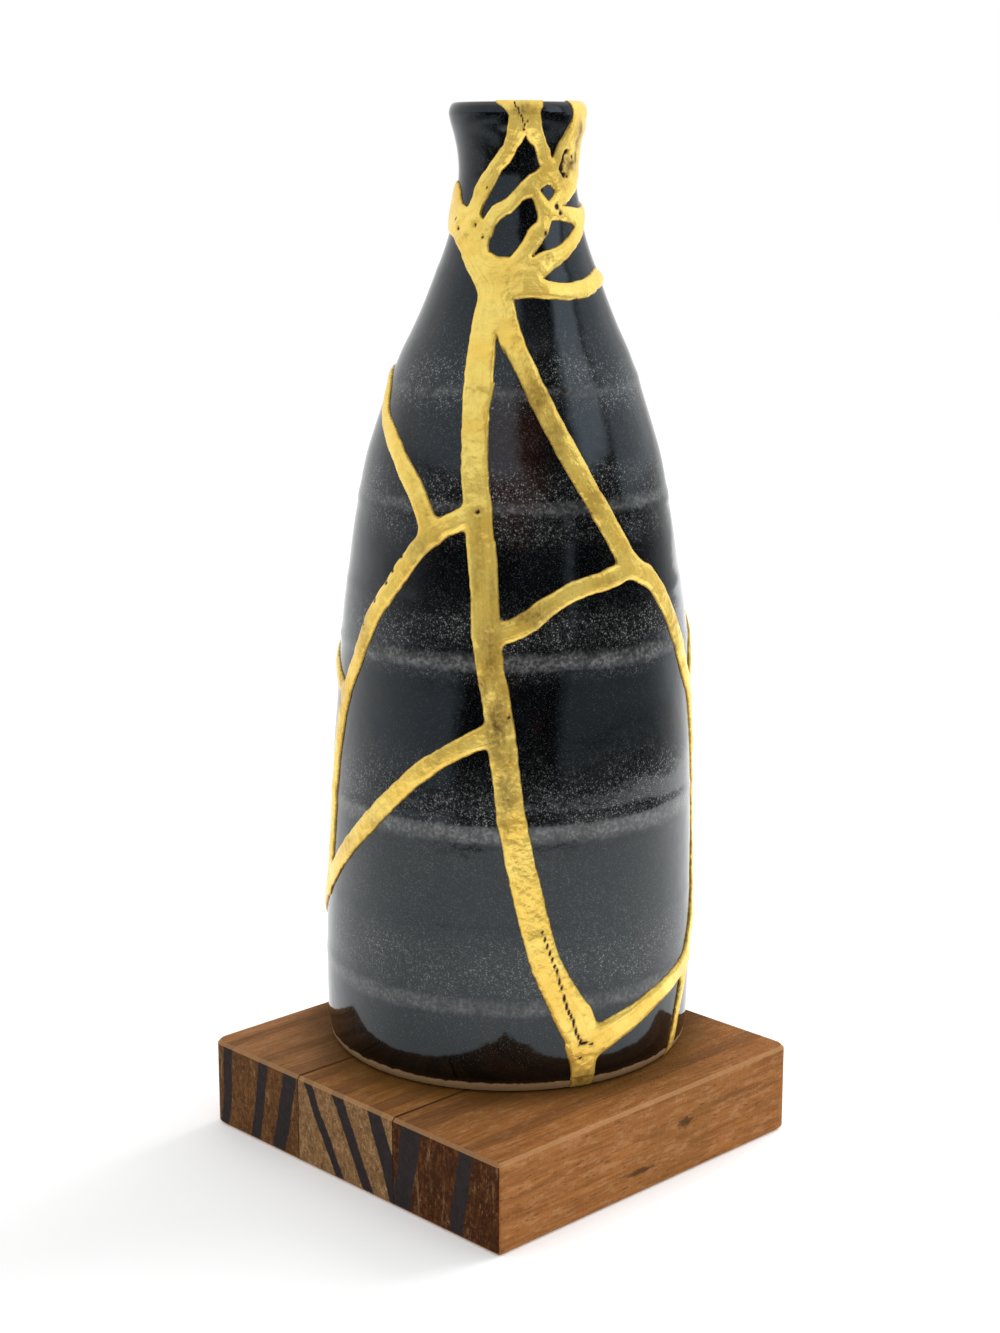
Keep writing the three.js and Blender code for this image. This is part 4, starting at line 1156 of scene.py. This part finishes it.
    # Darker top round the vase's foot: painted shadow and reflection of the vase on the wood
    away = s.length(s.vector("SUBTRACT", s.place, (VASE_X, VASE_Y, BLOCK_TOP)))
    away = s.plus(away, s.swing(s.noise(9.0, 3.0, 0.6), 7.0))
    on_top = s.step(s.z, BLOCK_TOP - 0.6, BLOCK_TOP - 0.1)
    vase_shadow = s.times(s.step(away, VASE_SHADOW_END, FOOT_FLAT), on_top)
    face = s.paint(face, vase_shadow, 0.80, VASE_SHADOW_TONE)
    # Lighter rounded edges of the block, picked by how they slope: wear with a painted highlight
    slope_edge = s.absolute(facing.outputs[2])
    worn_edge_highlight = s.times(s.step(slope_edge, 0.30, 0.50), s.step(slope_edge, 0.92, 0.80))
    colour = s.mix(end, face, end_tone)
    colour = s.paint(colour, worn_edge_highlight, 0.55, EDGE_WORN_HIGHLIGHT)
    rough = s.plus(0.60, s.times(dust, 0.22))
    relief = s.plus(s.times(fibre, 0.6), s.times(dust, 0.5))
    relief = s.plus(relief, s.times(saw, 0.5))
    s.bump(relief, 0.85, 0.0006)
    return s.finish(colour, rough, Specular_IOR_Level=0.07)


glaze = glaze_material()
for piece in sherd_objects:
    piece.data.materials.append(glaze)
gold.data.materials.append(gold_material())
for name in STAVE_BANDS:
    material = wood_material(name)
    for slot_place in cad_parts[name].material_slots:
        slot_place.material = material

# Floor, lights and surroundings
FLOOR_HALF = 6.0
PAPER = (0.9, 0.9, 0.9, 1)
PAPER_GLOW = 0.12
WHITE = (1, 1, 1, 1)
floor_mesh = bpy.data.meshes.new("studio_floor")
floor_mesh.from_pydata([(-FLOOR_HALF, -FLOOR_HALF, 0), (FLOOR_HALF, -FLOOR_HALF, 0),
                        (FLOOR_HALF, FLOOR_HALF, 0), (-FLOOR_HALF, FLOOR_HALF, 0)], [], [(0, 1, 2, 3)])
floor = bpy.data.objects.new("studio_floor", floor_mesh)
bpy.context.scene.collection.objects.link(floor)
paper = Shade("studio_paper").finish(PAPER, 0.9, Emission_Color=WHITE, Emission_Strength=PAPER_GLOW)
floor_mesh.materials.append(paper)

world = bpy.data.worlds.new("studio_air")
world.use_nodes = True
background = world.node_tree.nodes["Background"]
background.inputs[0].default_value = WHITE
background.inputs[1].default_value = 1.0
bpy.context.scene.world = world


def softbox(name, place, target, width, height, power):
    """A rectangular light aimed at a point."""
    data = bpy.data.lights.new(name, "AREA")
    data.shape = "RECTANGLE"
    data.size = width
    data.size_y = height
    data.energy = power
    thing = bpy.data.objects.new(name, data)
    thing.location = place
    direction = Vector(target) - Vector(place)
    thing.rotation_euler = direction.to_track_quat("-Z", "Y").to_euler()
    bpy.context.scene.collection.objects.link(thing)
    return thing


KEY_PLACE = (1.15, -0.15, 0.62)
KEY_TARGET = (0, 0, 0.05)
KEY_SIZE = 0.9
KEY_POWER = 16
key_light = softbox("key_light", KEY_PLACE, KEY_TARGET, KEY_SIZE, KEY_SIZE, KEY_POWER)
key_light.visible_glossy = False

# Lighter panels on the dark screen: heading from the front, half width, lowest, highest, glow
SCREEN_PANELS = [
    (-92, 60, 1, 17, 0.60), (92, 60, 1, 17, 0.42), (-55, 60, 37, 90, 0.78), (66, 15, 37, 90, 1.6),
    (112, 28, 24, 90, 0.85), (-100, 30, 20, 40, 0.40), (38, 1.6, 20, 33, 0.50),
]
PANEL_EDGE = 6.0
PANEL_SWAY = 8.0
SCREEN_RADIUS = 0.40
SCREEN_HEADING = FRONT_HEADING + math.radians(20)
SCREEN_HALF = math.radians(150)
SCREEN_TOP = math.radians(80)
SCREEN_FOOT = 0.003
SCREEN_COLUMNS = 160
SCREEN_ROWS = 54
SCREEN_BLACK = (0.004, 0.004, 0.004, 1)
PANEL_TINT = (0.86, 0.97, 1.06, 1)


def panel_glow(from_front, rise):
    """Glow of the screen at a heading and a rise in degrees."""
    sway = float(noise(np.array([from_front * 0.3, rise, 0.0]), 9.0))
    from_front += PANEL_SWAY * sway
    glow = 0.0
    for middle, half, lowest, highest, amount in SCREEN_PANELS:
        inner = half - min(half, PANEL_EDGE)
        wide = float(soft_step(half + PANEL_EDGE, inner, abs(from_front - middle)))
        lower_end = float(soft_step(lowest, lowest + PANEL_EDGE, rise))
        upper_end = float(soft_step(highest, highest - PANEL_EDGE, rise))
        glow = max(glow, amount * wide * (lower_end * upper_end))
    return glow


screen_points = []
screen_veil = []
screen_glow = []
for row in range(SCREEN_ROWS + 1):
    rise_angle = SCREEN_TOP * row / SCREEN_ROWS
    flat_radius = SCREEN_RADIUS * math.cos(rise_angle)
    level = SCREEN_FOOT + SCREEN_RADIUS * math.sin(rise_angle)
    top_soft = float(soft_step(1.0, 0.70, row / SCREEN_ROWS))
    for column in range(SCREEN_COLUMNS + 1):
        side = -1 + 2 * column / SCREEN_COLUMNS
        heading = SCREEN_HEADING + SCREEN_HALF * side
        screen_points.append((flat_radius * math.cos(heading), flat_radius * math.sin(heading), level))
        side_soft = float(soft_step(1.0, 0.42, abs(side)))
        screen_veil.append(side_soft * top_soft)
        from_front = math.degrees(heading - FRONT_HEADING)
        screen_glow.append(panel_glow(from_front, math.degrees(rise_angle)))
screen_faces = []
for row in range(SCREEN_ROWS):
    for column in range(SCREEN_COLUMNS):
        first = row * (SCREEN_COLUMNS + 1) + column
        above = first + SCREEN_COLUMNS + 1
        screen_faces.append((first, first + 1, above + 1, above))
screen_mesh = bpy.data.meshes.new("studio_screen")
screen_mesh.from_pydata(screen_points, [], screen_faces)
veil = screen_mesh.attributes.new("veil", "FLOAT", "POINT")
veil.data.foreach_set("value", screen_veil)
glow_layer = screen_mesh.attributes.new("glow", "FLOAT", "POINT")
glow_layer.data.foreach_set("value", screen_glow)
screen = bpy.data.objects.new("studio_screen", screen_mesh)
bpy.context.scene.collection.objects.link(screen)
screen.visible_camera = False
screen.visible_diffuse = False
screen.visible_shadow = False
screen.visible_transmission = False
cloth = Shade("studio_screen_black")
cloth.feed(cloth.main.inputs["Alpha"], cloth.attribute("veil"))
cloth.feed(cloth.main.inputs["Emission Strength"], cloth.attribute("glow"))
screen_mesh.materials.append(cloth.finish(SCREEN_BLACK, 1.0, Emission_Color=PANEL_TINT))
cloth.main.inputs["Specular IOR Level"].default_value = 0.0

# The camera, where the photograph was taken from
CAMERA_PLACE = (-0.37635, -0.38565, 0.2378)
CAMERA_DIP = math.radians(12.694)
CAMERA_HEADING = math.radians(-44.176)
FOCAL_PIXELS = 2305.8
PHOTO_PIXELS = 1333
SENSOR = 36
camera_data = bpy.data.cameras.new("photo_camera")
camera_data.sensor_fit = "AUTO"
camera_data.sensor_width = SENSOR
camera_data.lens = FOCAL_PIXELS * SENSOR / PHOTO_PIXELS
camera_data.clip_start = 0.01
camera = bpy.data.objects.new("photo_camera", camera_data)
camera.location = CAMERA_PLACE
camera.rotation_euler = (math.radians(90) - CAMERA_DIP, 0, CAMERA_HEADING)
bpy.context.scene.collection.objects.link(camera)
bpy.context.scene.camera = camera
bpy.context.scene.view_settings.view_transform = "Standard"
